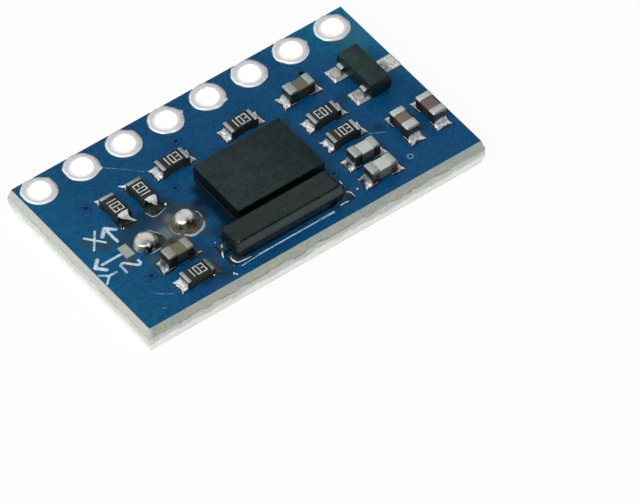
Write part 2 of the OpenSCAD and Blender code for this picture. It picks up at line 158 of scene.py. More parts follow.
def choose(kind, test):
    """Selects vertices, VERT, by a test on their place, or edges, EDGE, by their direction."""
    bpy.ops.mesh.select_mode(type=kind)
    bpy.ops.mesh.select_all(action="DESELECT")
    data = bpy.context.edit_object.data
    mesh = bmesh.from_edit_mesh(data)
    if kind == "EDGE":
        for edge in mesh.edges:
            start, end = (vertex.co for vertex in edge.verts)
            edge.select_set(test((end - start).normalized()))
    else:
        for vertex in mesh.verts:
            vertex.select_set(test(vertex.co))
    mesh.select_flush_mode()
    bmesh.update_edit_mesh(data)


def extrude(shift):
    """Extrudes what is selected by a shift."""
    bpy.ops.mesh.extrude_region_move(TRANSFORM_OT_translate={"value": shift})


def face_outwards():
    """Turns all faces of the piece in edit mode outwards."""
    bpy.ops.mesh.select_all(action="SELECT")
    bpy.ops.mesh.normals_make_consistent(inside=False)


print("tools for editing ready")

# %% Modify, smooth and settle a piece
finishes = {}


def modify(piece, kind, **settings):
    """Adds one modifier and applies it."""
    solo(piece)
    modifier = piece.modifiers.new(kind.lower(), kind)
    for key, value in settings.items():
        setattr(modifier, key, value)
    bpy.ops.object.modifier_apply(modifier=modifier.name)


def lumps(piece, size, depth, group=""):
    """Pushes a piece's surface in and out by soft noise of one size, both in millimetres."""
    texture = bpy.data.textures.new("lumps", "CLOUDS")
    texture.noise_scale = size
    texture.noise_depth = 1
    modify(piece, "DISPLACE", texture=texture, strength=depth, texture_coords="LOCAL",
           mid_level=0.5, vertex_group=group)


def smooth(piece, angle):
    """Shades a piece smooth, apart from the edges sharper than an angle in degrees."""
    solo(piece)
    bpy.ops.object.shade_smooth_by_angle(angle=math.radians(angle))


def settle(piece, finish, place=Matrix(), stands_for=()):
    """Gives a finished piece its place, its metres, its finish and its body."""
    solo(piece)
    piece.data.transform(Matrix.Scale(MM, 4) @ place)
    piece.data.materials.clear()
    piece.data.materials.append(finishes[finish])
    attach(piece, "root")
    if stands_for:
        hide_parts(*stands_for)
    return piece


print("tools for finishing ready")

# %% [markdown]
# ## Shader maths as Python expressions
#
# A procedural material is a small network of nodes. Written out node by node it hides its own
# idea, so a class wraps one socket and overloads the operators: `1 - mask * 0.5` adds the Math
# nodes for that sum. Colours and vectors go through their own nodes, because a Math node would
# turn them grey. Every other node comes from one method. Colours are given as three levels from 0
# to 255, as they look on a screen, and turned into the linear values that nodes use.

# %% A socket that does arithmetic


def operator(operation, reflected=False):
    """A Python operator that adds one Math node."""
    def work(self, other):
        values = (other, self) if reflected else (self, other)
        return self.network.maths(operation, *values)
    return work


class Wire:
    """One output socket of a network, with arithmetic that adds Math nodes."""

    def __init__(self, network, socket):
        self.network = network
        self.socket = socket

    def __abs__(self):
        return self.network.maths("ABSOLUTE", self)

    __add__ = operator("ADD")
    __radd__ = operator("ADD", reflected=True)
    __sub__ = operator("SUBTRACT")
    __rsub__ = operator("SUBTRACT", reflected=True)
    __mul__ = operator("MULTIPLY")
    __rmul__ = operator("MULTIPLY", reflected=True)


def linear(level):
    """A colour level on a screen, from 0 to 255, as a linear value."""
    level = level / 255
    return level / 12.92 if level <= 0.04045 else ((level + 0.055) / 1.055) ** 2.4


class Network:
    """The nodes of a material or of the world."""

    def __init__(self, owner):
        owner.use_nodes = True
        self.tree = owner.node_tree

    def feed(self, socket, value):
        """Links a wire to a socket, or sets the socket's own value."""
        if isinstance(value, Wire):
            self.tree.links.new(value.socket, socket)
        elif socket.type == "RGBA" and len(value) == 3:
            socket.default_value = (*map(linear, value), 1)
        else:
            socket.default_value = value

    def node(self, kind, settings=None, inputs=None, out=0):
        """Adds a node, sets its settings and then its sockets, and returns one of its outputs."""
        item = self.tree.nodes.new("ShaderNode" + kind)
        for key, value in (settings or {}).items():
            setattr(item, key, value)
        for key, value in (inputs or {}).items():
            self.feed(item.inputs[key], value)
        return Wire(self, item.outputs[out]) if item.outputs else None

    def maths(self, operation, *values):
        return self.node("Math", {"operation": operation}, dict(enumerate(values)))

    def band(self, value, low, high, into=(0.0, 1.0)):
        """Carries a value smoothly from one end of a range to the other."""
        return self.node("MapRange", {"interpolation_type": "SMOOTHSTEP"},
                         {"Value": value, "From Min": low, "From Max": high,
                          "To Min": into[0], "To Max": into[1]})

    def blend(self, share, first, second):
        """Mixes two colours."""
        return self.node("Mix", {"data_type": "RGBA"}, {0: share, 6: first, 7: second}, 2)

    def mix(self, share, first, second):
        """Mixes two shaders."""
        return self.node("MixShader", inputs={0: share, 1: first, 2: second})


print("shader maths ready")

# %% A builder of finishes


class Finish(Network):
    """One material round a Principled shader, kept in finishes under its name."""

    def __init__(self, name, **constants):
        finishes[name] = bpy.data.materials.new(name)
        super().__init__(finishes[name])
        self.shader = self.tree.nodes["Principled BSDF"]
        self.place = self.node("TexCoord", out="Object")
        self.set(**constants)

    def set(self, **sockets):
        """Feeds sockets of the Principled shader."""
        for key, value in sockets.items():
            self.feed(self.shader.inputs[key.replace("_", " ")], value)

    def grain(self, size, detail, stretch=(1, 1, 1), shift=(0, 0, 0)):
        """Noise from 0 to 1 whose features have a size in millimetres, times a stretch."""
        scale = tuple(1 / (size * MM * s) for s in stretch)
        spot = self.node("Mapping", inputs={"Vector": self.place, "Scale": scale, "Location": shift})
        return self.node("TexNoise", inputs={"Vector": spot, "Scale": 1.0, "Detail": detail})

    def axis(self, name):
        """One coordinate of the place, in millimetres."""
        return self.node("SeparateXYZ", inputs={0: self.place}, out=name) * (1 / MM)

    def near(self, x, y, radius, z=mask_top):
        """1 at a spot, fading to 0 at a radius, all in millimetres."""
        spot = (x * MM, y * MM, z * MM)
        away = self.node("VectorMath", {"operation": "DISTANCE"}, {0: self.place, 1: spot}, "Value")
        return 1 - self.band(away * (1 / MM), 0.25 * radius, radius)

    def bump(self, height, depth):
        """Turns a height from 0 to 1 into bumps of a depth in millimetres."""
        self.set(Normal=self.node("Bump", inputs={"Height": height, "Distance": depth * MM}))


print("builder of finishes ready")

# %% [markdown]
# ## The solder mask
#
# The mask is a film of blue lacquer over copper. It is deep blue where the copper below is solid,
# and turns to teal at the left end and at one corner, where light comes through the glass below.
# Flux has stained the mask grey and brown round the hand-soldered parts, and painted shade darkens
# it beside the sensor chip and between some other parts. A painted picture would be fixed to one
# size, so all of this is procedural: noise at three sizes, soft bands along X and Y, and round
# patches of stain and of painted shade whose edges the noise breaks up. Over the vias and along the
# traces the same lacquer has plainer finishes of its own; along the traces it is paler as a painted
# highlight.

# %% The blue mask
# Stains of flux on the top, with painted shade and light: where, how wide, and their colour. Those
# at x from -3.3 to -3.7 are painted shade beside the sensor chip, the three at (6.4, 0.7), (6.6,
# -2.0) and (3.2, 1.1) are painted shade between parts, the one at (-6.4, -1.9) is flux and painted
# shade in front of the first dome, and the one at (9.5, 3.9) is the paler corner where light comes
# through.
stains_shade_and_light = [
    ((-5.5, -0.9), 1.25, (54, 66, 68)), ((-5.8, -1.3), 0.75, (118, 134, 134)),
    ((-5.25, -1.2), 0.45, (138, 142, 116)), ((-4.6, 0.35), 0.7, (26, 48, 50)),
    ((-4.2, -0.3), 0.6, (50, 72, 76)), ((-5.0, -4.2), 0.5, (54, 64, 70)),
    ((-7.1, -2.3), 0.55, (66, 80, 80)), ((-3.7, -1.2), 0.7, (24, 40, 48)),
    ((-5.5, -1.9), 0.5, (92, 98, 88)), ((-6.4, -1.9), 0.8, (26, 46, 46)),
    ((-8.3, -1.75), 0.55, (64, 70, 64)), ((-8.55, 0.0), 0.7, (42, 70, 88)),
    ((-7.7, -0.4), 0.7, (34, 56, 74)), ((-6.9, 0.1), 0.8, (26, 52, 60)),
    ((-6.1, 0.2), 0.8, (18, 48, 60)), ((-3.5, -0.9), 0.9, (28, 52, 60)),
    ((-4.1, -2.4), 0.6, (38, 62, 86)), ((-3.4, -2.9), 0.9, (2, 38, 60)),
    ((-4.8, -3.6), 0.6, (24, 50, 78)), ((9.5, 3.9), 1.8, (44, 106, 132)),
    ((-5.1, -0.55), 0.5, (118, 112, 94)), ((-5.4, -0.2), 0.45, (52, 54, 48)),
    ((-4.6, -0.15), 0.45, (46, 60, 50)), ((-6.0, -4.9), 0.6, (34, 56, 70)),
    ((-9.0, 0.5), 0.7, (52, 72, 88)), ((-3.3, -0.6), 0.5, (0, 30, 42)),
    ((6.4, 0.7), 0.7, (20, 56, 78)), ((6.6, -2.0), 0.5, (8, 44, 72)),
    ((3.2, 1.1), 0.5, (36, 60, 74)), ((-5.0, -5.1), 0.7, (18, 50, 66)),
]


def make_mask(name, stained=()):
    """Blue lacquer, teal at two places; each flux stain, patch of painted shade and patch of painted
    light has a place, a radius and a colour.
    """
    mask = Finish(name, Specular_IOR_Level=0.1)
    cloudy = mask.grain(1.6, 4)
    mottled = mask.grain(0.22, 3)
    speckle = mask.grain(0.1, 4)
    along = mask.axis("X")
    across = mask.axis("Y")
    towards_left = mask.band(along, -6.5, -10.5, (0.0, 0.5))
    towards_corner = mask.band(along + across * 0.8, 8.5, 13.2)
    deep = mask.blend(cloudy, (8, 64, 104), (18, 84, 130))
    teal = mask.blend(cloudy, (0, 90, 124), (16, 118, 148))
    colour = mask.blend(towards_left, deep, teal)
    colour = mask.blend(towards_corner, colour, teal)
    colour = mask.blend(mask.band(mottled, 0.4, 0.65) * 0.45, colour, (4, 48, 90))
    colour = mask.blend(mask.band(speckle, 0.46, 0.66) * 0.5, colour, (22, 102, 146))
    if stained:
        patchy = 0.25 + 0.6 * mottled + 0.5 * cloudy
        for (x, y), radius, tint in stained:
            colour = mask.blend(mask.near(x, y, radius) * patchy * 0.9, colour, tint)
        # Painted shade lies along the left side of the sensor chip
        beside = mask.band(abs(along + 2.75), 0.65, 0.2) * mask.band(abs(across + 1.35), 2.1, 1.5)
        colour = mask.blend(beside * (0.6 + 0.4 * patchy), colour, (4, 30, 48))
    mask.set(Base_Color=colour, Roughness=0.2 + 0.2 * mottled)
    mask.bump(mottled * 0.4 + cloudy + speckle * 0.15, 0.014)


make_mask("blue_mask", stains_shade_and_light)
make_mask("plain_mask")
print("made the mask with", len(stains_shade_and_light), "stains, and a plain one for the underside")

# %% The mask over the vias and along the traces


def make_via_mask(name, hollow, raised):
    """The same blue, darker over the hollow of each via and paler on its collar."""
    mask = Finish(name, Specular_IOR_Level=0.12)
    grain = mask.grain(0.1, 3)
    collar = mask.band(mask.axis("Z"), mask_top + 0.004, mask_top + 0.02)
    mask.set(Base_Color=mask.blend(collar, hollow, raised), Roughness=0.2 + 0.2 * grain)
    mask.bump(grain, 0.01)


def make_trace_glint_mask(name, whole, glint_colour):
    """Lacquer over a trace, paler as a painted highlight and duller, here and there more."""
    trace_finish = Finish(name, Specular_IOR_Level=0.3)
    broken = trace_finish.grain(0.25, 4)
    second_tone = trace_finish.band(broken, 0.42, 0.6)
    trace_finish.set(Base_Color=trace_finish.blend(second_tone, whole, glint_colour), Roughness=0.4 + 0.2 * broken)


make_via_mask("via_mask", (2, 32, 66), (14, 74, 116))
make_via_mask("pale_via_mask", (4, 26, 44), (84, 138, 164))
# Along the traces the paler lacquer is a painted highlight where light catches their edges
make_trace_glint_mask("scratch_mask", (24, 88, 134), (104, 150, 184))
print("made", len(finishes), "finishes so far")

# %% [markdown]
# ## Solder and stamped leads
#
# Solder has cooled from a liquid, so it is nearly a mirror, with shallow dents and a light frost
# here and there. Flux has left some of it dark, brown or blue, and painted shade darkens the near
# slopes of the domes and two capacitors' toes. Stamped leads are duller. They differ only in their
# numbers, so one function makes them from a table. A finish that is only partly metallic stays pale
# where a mirror would show the dark part of the room.

# %% Solder and leads
# Burnt flux on the near sides of the two domes; the three dark ones are flux and painted shade
dome_stains_and_shade = [
    ((-7.1, -1.7, 0.2), 0.62, (26, 26, 22)), ((-6.6, -1.7, 0.1), 0.4, (40, 50, 48)),
    ((-4.6, -1.6, 0.3), 0.42, (44, 38, 30)), ((-4.45, -1.75, 0.1), 0.5, (104, 98, 78)),
    ((-5.05, -1.45, 0.15), 0.35, (132, 130, 104)),
]
# Flux on the toe of the fourth capacitor, and painted shade on those of the second and third
toe_stains_and_shade = [
    ((-7.35, -2.62, 0.05), 0.5, (92, 88, 64)), ((-7.0, -3.0, 0.1), 0.45, (60, 60, 46)),
    ((3.86, -3.15, 0.08), 0.3, (12, 40, 52)), ((3.8, -4.44, 0.08), 0.3, (36, 58, 66)),
]
# Name, colour, shade of the frost, roughness and its spread, size and depth of the dents, how
# metallic, stains, and whether the frost is patchy
metals = [
    ("solder", (255, 255, 255), (186, 196, 202), 0.16, 0.28, 0.13, 0.034, 0.6, (), True),
    ("toe_solder", (255, 255, 255), (186, 196, 202), 0.16, 0.28, 0.13, 0.034, 0.7, toe_stains_and_shade, True),
    ("dome_solder", (250, 249, 245), (226, 223, 215), 0.14, 0.16, 0.3, 0.014, 0.85, dome_stains_and_shade),
    ("white_solder", (255, 255, 255), (222, 230, 232), 0.34, 0.2, 0.13, 0.02, 0.35),
    ("dark_solder", (58, 64, 56), (24, 32, 30), 0.2, 0.25, 0.2, 0.02, 0.6),
    ("brown_solder", (96, 94, 80), (44, 52, 50), 0.4, 0.3, 0.2, 0.02, 0.15),
    ("blue_solder", (16, 64, 96), (4, 38, 64), 0.3, 0.3, 0.2, 0.02, 0.1),
    ("lead_metal", (232, 232, 228), (186, 186, 180), 0.14, 0.2, 0.2, 0.01, 1.0),
    ("dark_lead", (70, 86, 88), (20, 38, 46), 0.3, 0.3, 0.3, 0.02, 0.4),
    ("copper", (120, 92, 60), (70, 52, 36), 0.4, 0.2, 0.2, 0.004, 1.0),
]


def make_metal(name, colour, shade, roughness, spread, dent_size, dent_depth, metallic,
               stained=(), patchy=False):
    """Metal with frost and dents; each stain, of flux and of painted shade, has a place over the
    mask, a radius and a colour.
    """
    metal = Finish(name, Metallic=metallic)
    frost = metal.grain(0.12, 3)
    dents = metal.grain(dent_size, 2)
    frosted = metal.band(frost, 0.36, 0.7) if patchy else frost
    colour = metal.blend(frosted, colour, shade)
    if stained:
        broken = metal.band(metal.grain(0.2, 3), 0.3, 0.5)
        for (x, y, z), radius, tint in stained:
            colour = metal.blend(metal.near(x, y, radius, mask_top + z) * broken, colour, tint)
    metal.set(Base_Color=colour, Roughness=roughness + spread * frost)
    metal.bump(dents + 0.25 * frost, dent_depth)


for row in metals:
    make_metal(*row)
print("made", len(metals), "metals")

# %% [markdown]
# ## Tin on the rings and lands
#
# Hot air has levelled the tin on the rings into a soft dome: frosted on the flat, and clean and
# white on its lips and down the barrel, where a painted glow stands for light that bounces about.
# The finish has to know where on a ring it is, so it works out the distance from the middle of the
# nearest hole. Most lands are nearly hidden by solder and show a thin, dark edge of tin. The bare
# ones are pale.

# %% Tin
header_holes = [m for m in frame["record"]["mounts"] if m["kind"] == "bore"]
hole_spots = [Vector(m["pos_m"]) / MM for m in header_holes]
PITCH = hole_spots[1].x - hole_spots[0].x


def make_ring_tin():
    """Frosted tin on the flat of a ring, and clean white tin with a painted glow on its lips and
    down its barrel.
    """
    ring = Finish("ring_tin", Emission_Strength=1.0)
    frost = ring.grain(0.12, 3)
    dents = ring.grain(0.35, 2)
    # The distance from the middle of the nearest hole, a little towards the front left
    along = (ring.axis("X") - (hole_spots[0].x - 0.06)) * (1 / PITCH) + 0.5
    sideways = (ring.maths("FRACT", along) - 0.5) * PITCH
    across = ring.axis("Y") - (hole_spots[0].y - 0.06)
    away = ring.maths("SQRT", sideways * sideways + across * across)
    above = ring.band(ring.axis("Z"), land_top + 0.004, land_top + 0.026)
    below = ring.band(ring.axis("Z"), 0.03, 0.01)
    outside = (above + below) * ring.band(away + 0.06 * dents, 0.6, 0.7)
    flat = ring.blend(frost, (246, 246, 248), (232, 230, 230))
    # The glow stands for the light that bounces about in the barrel
    ring.set(Base_Color=ring.blend(outside, (255, 255, 255), flat),
             Metallic=0.35 + 0.3 * outside,
             Roughness=0.2 + outside * (0.02 + 0.26 * frost),
             Emission_Color=ring.blend(outside, (134, 134, 134), (0, 0, 0)))
    ring.bump(dents + 0.25 * frost, 0.02)


def make_land_tin():
    """Thin dark tin, pale on the two bare lands and blue at the crystal's two ends."""
    tin = Finish("land_tin", Specular_IOR_Level=0.3)
    frost = tin.grain(0.12, 3)
    bare = tin.near(-7.97, -1.01, 1.3) + tin.near(9.5, 1.17, 1.7)
    covered = tin.near(-4.35, -4.25, 1.4) + tin.near(2.6, -4.25, 1.4)
    thin = tin.blend(frost, (84, 102, 112), (40, 58, 74))
    pale = tin.blend(frost, (186, 194, 184), (158, 166, 154))
    colour = tin.blend(covered, tin.blend(bare, thin, pale), (8, 62, 102))
    tin.set(Base_Color=colour, Roughness=0.3 + 0.25 * frost,
            Metallic=0.9 - 0.8 * covered - 0.45 * bare)
    tin.bump(frost, 0.01)


make_ring_tin()
make_land_tin()
print("made the tin for", len(hole_spots), "rings and", len(lands), "lands")

# %% [markdown]
# ## Terminals of the chip parts
#
# The ends of resistors and capacitors are fired-on metal: bright on top, and dark down the sides
# as painted shade. The height decides which of the two shows, with a little noise so that the change
# isn't a ruled line. Flux has darkened a few of the resistors' ends, and painted shade a few more.

# %% Terminals
# Where the resistors' ends are darkened, the first three by flux and the rest by painted shade on
# their far and right-hand ends: x, y, radius and how much
burnt_and_shaded_ends = [
    (-6.88, 0.72, 1.1, 1.0), (-5.25, 0.74, 1.1, 1.0), (-5.5, -4.5, 0.9, 0.55),
    (-6.88, 2.2, 0.6, 0.12), (-5.25, 2.2, 0.6, 0.25), (-2.15, 2.17, 0.6, 0.25),
    (2.0, 2.17, 0.6, 0.12), (5.55, 0.13, 0.6, 0.2), (4.05, -1.48, 0.6, 0.2),
]
# Name, the part that gives its height, colour and shade of the top, colour of the sides, which is
# painted shade, and the darkened ends
terminals = [
    ("resistor_end", "resistor_1", (236, 244, 246), (176, 184, 184), (120, 122, 112), burnt_and_shaded_ends),
    ("tan_end", "capacitor_1", (226, 234, 236), (174, 182, 184), (142, 132, 118)),
    ("pale_end", "capacitor_2", (224, 230, 224), (192, 198, 192), (138, 126, 112)),
    ("warm_end", "capacitor_4", (216, 212, 198), (164, 160, 146), (120, 108, 92)),
    ("white_end", "capacitor_5", (252, 255, 252), (216, 222, 216), (138, 126, 112)),
]


def make_terminal(name, part, top, shade, side, stained=()):
    """Fired-on metal: bright on top, with painted shade down the sides, and darkened at a few ends
    by flux and by painted shade.
    """
    end = Finish(name, Metallic=1.0)
    frost = end.grain(0.1, 3)
    high = box_mm(part + "_terminals")[1].z
    upwards = end.band(end.axis("Z") + 0.05 * frost, high - 0.1, high - 0.01)
    flat = end.blend(frost, top, shade)
    # The dark sides are painted shade
    wall = end.blend(frost, side, (72, 64, 56))
    colour = end.blend(upwards, wall, flat)
    for x, y, radius, share in stained:
        colour = end.blend(end.near(x, y, radius, high) * share, colour, (40, 46, 38))
    end.set(Base_Color=colour, Roughness=0.36 + 0.25 * frost)
    end.bump(frost, 0.012)


for row in terminals:
    make_terminal(*row)
print("made", len(terminals), "terminal finishes")

# %% [markdown]
# ## Moulded plastic
#
# The chips are moulded in black epoxy full of ground glass: nearly black, matt and finely mottled,
# and darker down the sides as painted shade. Fine noise gives the specks, and broad noise gathers
# them into patches of a slightly warmer black. The sensor chip's substrate is a plainer plastic of
# the same kind.

# %% Moulded black
# Name, colour and its shade, size of the specks, roughness and its spread, depth of the bumps,
# gloss, a warmer colour, and the node whose sides are darkened as painted shade: that colour and the
# depths below the top between which it gives way to the top's
moulds = [
    ("sensor_mould", (0, 20, 20), (24, 52, 52), 0.11, 0.34, 0.22, 0.012, 0.36, (26, 14, 20),
     ("sensor_cap", (0, 10, 6), 0.12, 0.04)),
    ("crystal_mould", (0, 14, 14), (18, 42, 42), 0.11, 0.22, 0.16, 0.008, 0.46, (12, 10, 12),
     ("crystal_body", (0, 4, 4), 0.9, 0.5)),
    ("regulator_mould", (0, 28, 26), (30, 60, 58), 0.11, 0.34, 0.22, 0.01, 0.42, (0, 28, 26),
     ("regulator_body", (14, 32, 32), 0.12, 0.04)),
    ("substrate", (8, 20, 18), (16, 30, 27), 0.08, 0.5, 0.2, 0.004, 0.5, (8, 20, 18)),
]


def make_mould(name, colour, shade, speck_size, roughness, spread, depth, gloss, warm, sides=None):
    """Mottled plastic, in patches of a colour and a warmer one."""
    mould = Finish(name, Specular_IOR_Level=gloss)
    fine = mould.grain(speck_size, 4)
    broad = mould.grain(speck_size * 7, 2)
    mottled = mould.band(fine * 0.7 + broad * 0.3, 0.34, 0.66)
    colour = mould.blend(mould.band(broad, 0.35, 0.65), colour, warm)
    colour = mould.blend(mottled, colour, shade)
    # The darker sides are painted shade
    if sides:
        node, below, deep, shallow = sides
        high = box_mm(node)[1].z
        colour = mould.blend(mould.band(mould.axis("Z"), high - deep, high - shallow), below, colour)
    mould.set(Base_Color=colour, Roughness=roughness + spread * fine)
    mould.bump(fine, depth)


for row in moulds:
    make_mould(*row)
print("made", len(moulds), "moulded plastics")

# %% [markdown]
# ## Ceramic and glass
#
# The capacitors are pressed from ceramic powder, each batch in its own tan or grey, and their
# sides are painted nearly black as shade. A resistor's coat is a black glass on a dark olive ceramic
# body. In both the height tells the top from the sides.

# %% Capacitors and resistors


def make_ceramic(name, colour, shade):
    """Pressed ceramic, paler on the top than down the sides, which are darkened as painted shade."""
    block = Finish(name)
    fine = block.grain(0.05, 4)
    broad = block.grain(0.3, 2)
    high = box_mm("capacitor_1_terminals")[1].z
    upwards = block.band(block.axis("Z") + 0.05 * broad, high - 0.14, high - 0.04)
    top = block.blend(fine * 0.6 + broad * 0.4, colour, shade)
    # The sides' near black is painted shade
    side = block.blend(0.84, top, (14, 22, 20))
    block.set(Base_Color=block.blend(upwards, side, top), Roughness=0.35 + 0.25 * fine)
    block.bump(fine, 0.006)


def make_resistor_body():
    """Black glass on the top, and dark olive ceramic below its edge."""
    body = Finish("resistor_body")
    fine = body.grain(0.05, 4)
    glass_edge = box_mm("resistor_1")[1].z
    on_top = body.band(body.axis("Z"), glass_edge - 0.06, glass_edge - 0.03)
    side = body.blend(fine, (20, 28, 22), (52, 58, 44))
    glass = body.blend(fine, (14, 20, 16), (32, 38, 30))
    body.set(Base_Color=body.blend(on_top, side, glass), Roughness=0.5 - 0.22 * on_top + 0.2 * fine)
    body.bump(fine, 0.006)


make_ceramic("tan_ceramic", (94, 91, 72), (118, 113, 92))
make_ceramic("brown_ceramic", (104, 92, 82), (130, 116, 106))
make_ceramic("red_ceramic", (96, 80, 76), (122, 102, 100))
make_ceramic("olive_ceramic", (92, 93, 76), (118, 117, 98))
make_ceramic("grey_ceramic", (182, 191, 183), (202, 211, 203))
make_resistor_body()
print("made", len(finishes), "finishes so far")

# %% [markdown]
# ## Glass-epoxy
#
# The board's core is woven glass in epoxy. Its cut edge shows the layers as fine streaks that run
# along the edge, so that noise is drawn out level and kept short in height. The lower wall of the
# score is smooth and painted white as light from the white floor, the torn web is grey, and the
# upper wall shows upright fibres in fresh and stained patches, darker as painted shade. A painted
# shadow line runs where the web meets the upper wall, and the left end is painted paler as light.
# The height picks one of the three, with enough noise to tear its borders.

# %% The laminate's finish


def make_laminate():
    """Glass-epoxy in three levels: a wall painted white as light, a torn grey web and a fibrous wall
    darker as painted shade.
    """
    board = Finish("glass_epoxy", Specular_IOR_Level=0.3)
    layers = board.grain(0.09, 3, stretch=(14, 14, 1))
    specks = board.grain(0.12, 4)
    fibres = board.grain(0.06, 3, stretch=(1, 1, 7))
    tears = board.grain(0.7, 4)
    patches = board.band(board.grain(1.1, 3, shift=(3, 5, 1)), 0.4, 0.6)
    height = board.axis("Z") + 0.3 * (layers - 0.5) + 0.2 * (specks - 0.5) + 0.5 * (tears - 0.5)
    upright = fibres * 0.7 + layers * 0.3
    # The lower wall's white is painted light from the floor; the upper wall's fibres and patches are
    # its own, its darker tone painted shade
    low_wall = board.blend(specks, (255, 255, 252), (238, 240, 234))
    web = board.blend(specks, (166, 172, 164), (230, 232, 226))
    fresh = board.blend(upright, (104, 120, 110), (194, 204, 200))
    stained = board.blend(upright, (116, 120, 102), (208, 208, 196))
    high_wall = board.blend(patches, fresh, stained)
    colour = board.blend(board.band(height, 0.45, 0.7), low_wall, web)
    colour = board.blend(board.band(height, 0.9, 1.1), colour, high_wall)
    # A painted shadow line along the ledge where the web meets the upper wall
    ledge_shadow = 1 - board.band(abs(height - 1.0), 0.0, 0.08)
    colour = board.blend(ledge_shadow * (0.25 + 0.6 * patches), colour, (112, 112, 100))
    # The left end is painted paler, as painted light
    left_end_light = board.band(board.axis("X"), -9.85, -9.98)
    colour = board.blend(left_end_light * 0.3, colour, (255, 255, 250))
    board.set(Base_Color=colour, Roughness=0.55 + 0.3 * specks)
    board.bump(layers * 0.6 + specks * 0.6 + fibres * 0.5 + tears, 0.04)


make_laminate()
print("made the glass-epoxy")

# %% [markdown]
# ## Ink and flux
#
# The ink of the printed marks is a thin chalky white, worn in patches. Flux is a thin amber film,
# clear enough to see the mask through it, so its alpha changes with the same noise as its colour.

# %% Printed ink and flux


def make_ink(name, fresh, second_tone):
    """Chalky ink, worn here and there."""
    ink = Finish(name, Specular_IOR_Level=0.3)
    chalk = ink.grain(0.14, 4)
    broad = ink.grain(0.7, 2)
    worn = ink.band(chalk * 0.5 + broad * 0.5, 0.38, 0.66)
    ink.set(Base_Color=ink.blend(worn, fresh, second_tone), Roughness=0.55 + 0.2 * chalk)
    ink.bump(chalk, 0.006)


def make_flux(name, colour, shade, thinnest, thickest):
    """A film that is clearer where it is thin; the last two are its alpha there and elsewhere."""
    flux = Finish(name)
    pools = flux.grain(0.4, 3)
    flux.set(Base_Color=flux.blend(pools, colour, shade), Roughness=0.12 + 0.2 * pools,
             Alpha=thinnest + (thickest - thinnest) * flux.band(pools, 0.3, 0.7))
    flux.bump(pools, 0.02)


make_ink("printed_ink", (214, 232, 244), (138, 168, 190))
make_ink("code_ink", (218, 230, 228), (176, 188, 186))
make_flux("flux_film", (66, 68, 52), (134, 134, 110), 0.25, 0.75)
# Dark flux; round the first dome it also stands for painted shade
make_flux("dark_flux", (12, 22, 20), (40, 46, 36), 0.6, 0.9)
make_flux("brown_flux", (134, 124, 102), (80, 74, 56), 0.6, 0.95)
# The rims' pale colour is a painted glint where the flux meets the mask
make_flux("flux_rim", (196, 220, 222), (142, 168, 170), 0.55, 0.95)
print("made", len(finishes), "finishes in all")

# %% [markdown]
# ## Camera, light and floor
#
# The photograph was taken with a long lens, looking down at 48 degrees with the board turned 35
# degrees. The camera's place was fitted to the eight rings and the board's corners.
#
# The background is plain white. More light would bleach the object, so the floor is a pale sheet,
# and what the camera and the metals see of it is made white through the ray's kind. The lamps can
# stay low and the shadow stays faint. The floor lies a hair below the board, so that the two don't
# flicker. It is clear from behind, so that the underside can be looked at, and it glows for very
# short rays, which light the underside where no lamp reaches.

# %% Camera
CAMERA_PLACE = (-172.70, -255.78, 335.03)
CAMERA_TURN = (42.205, 1.683, -36.514)
CAMERA_LENS = 523.1

camera_data = bpy.data.cameras.new("camera")
camera_data.lens = CAMERA_LENS
camera_data.sensor_width = 36
camera = bpy.data.objects.new("camera", camera_data)
camera.location = Vector(CAMERA_PLACE) * MM
camera.rotation_euler = [math.radians(angle) for angle in CAMERA_TURN]
bpy.context.scene.collection.objects.link(camera)
bpy.context.scene.camera = camera
bpy.context.scene.view_settings.view_transform = "Standard"
print("camera", round(camera.location.length / MM), "mm from the board")

# %% Floor
# These two are in metres
FLOOR_SIZE = 3
FLOOR_GAP = 2e-6
FLOOR_SHADE = (0.92, 0.92, 0.92, 1)
WHITE = (255, 255, 255)
WHITE_SHARE = 0.9
UNDER_GLOW = 0.55
SHORT_RAY = 0.05 * MM


def make_floor():
    """A pale sheet that takes a shadow and looks white, clear from behind."""
    material = bpy.data.materials.new("white_floor")
    sheet = Network(material)
    sheet.tree.nodes.clear()
    seen = sheet.node("LightPath", out="Is Camera Ray")
    for kind in ("Is Glossy Ray", "Is Transmission Ray"):
        seen = sheet.maths("MAXIMUM", seen, sheet.node("LightPath", out=kind))
    under = sheet.maths("LESS_THAN", sheet.node("LightPath", out="Ray Length"), SHORT_RAY)
    pale = sheet.node("BsdfDiffuse", inputs={"Color": FLOOR_SHADE})
    glow = sheet.node("Emission", inputs={"Color": WHITE})
    front = sheet.mix(under * UNDER_GLOW + seen * WHITE_SHARE, pale, glow)
    behind = sheet.node("NewGeometry", out="Backfacing")
    both = sheet.mix(behind, front, sheet.node("BsdfTransparent"))
    sheet.node("OutputMaterial", inputs={"Surface": both})
    return material


floor = begin("floor", bpy.ops.mesh.primitive_plane_add, size=FLOOR_SIZE)
bpy.ops.transform.translate(value=(0, 0, -FLOOR_GAP))
solo(floor)
floor.data.materials.append(make_floor())
print("floor", FLOOR_SIZE, "m wide")

# %% [markdown]
# ## The room
#
# Solder is a mirror, so the room decides how it looks. A bright ceiling over a dark room gives
# level solder its white and steep solder its black. The ceiling leans a little to the back left,
# which gave the nearest match to the photograph's bright and dark slopes. Four soft lamps add
# light from the left and the front. The two low ones are kept out of reflections, where they
# would show as squares.

# %% World and lamps
# The ceiling's middle, the cosines of the angle from it between which it begins, and the strength
# of the light outside and inside it
SKY_TILT = (-0.3, 0.45, 1.0)
SKY_EDGE = (0.46, 0.66)
SKY_LEVELS = (0.04, 0.78)


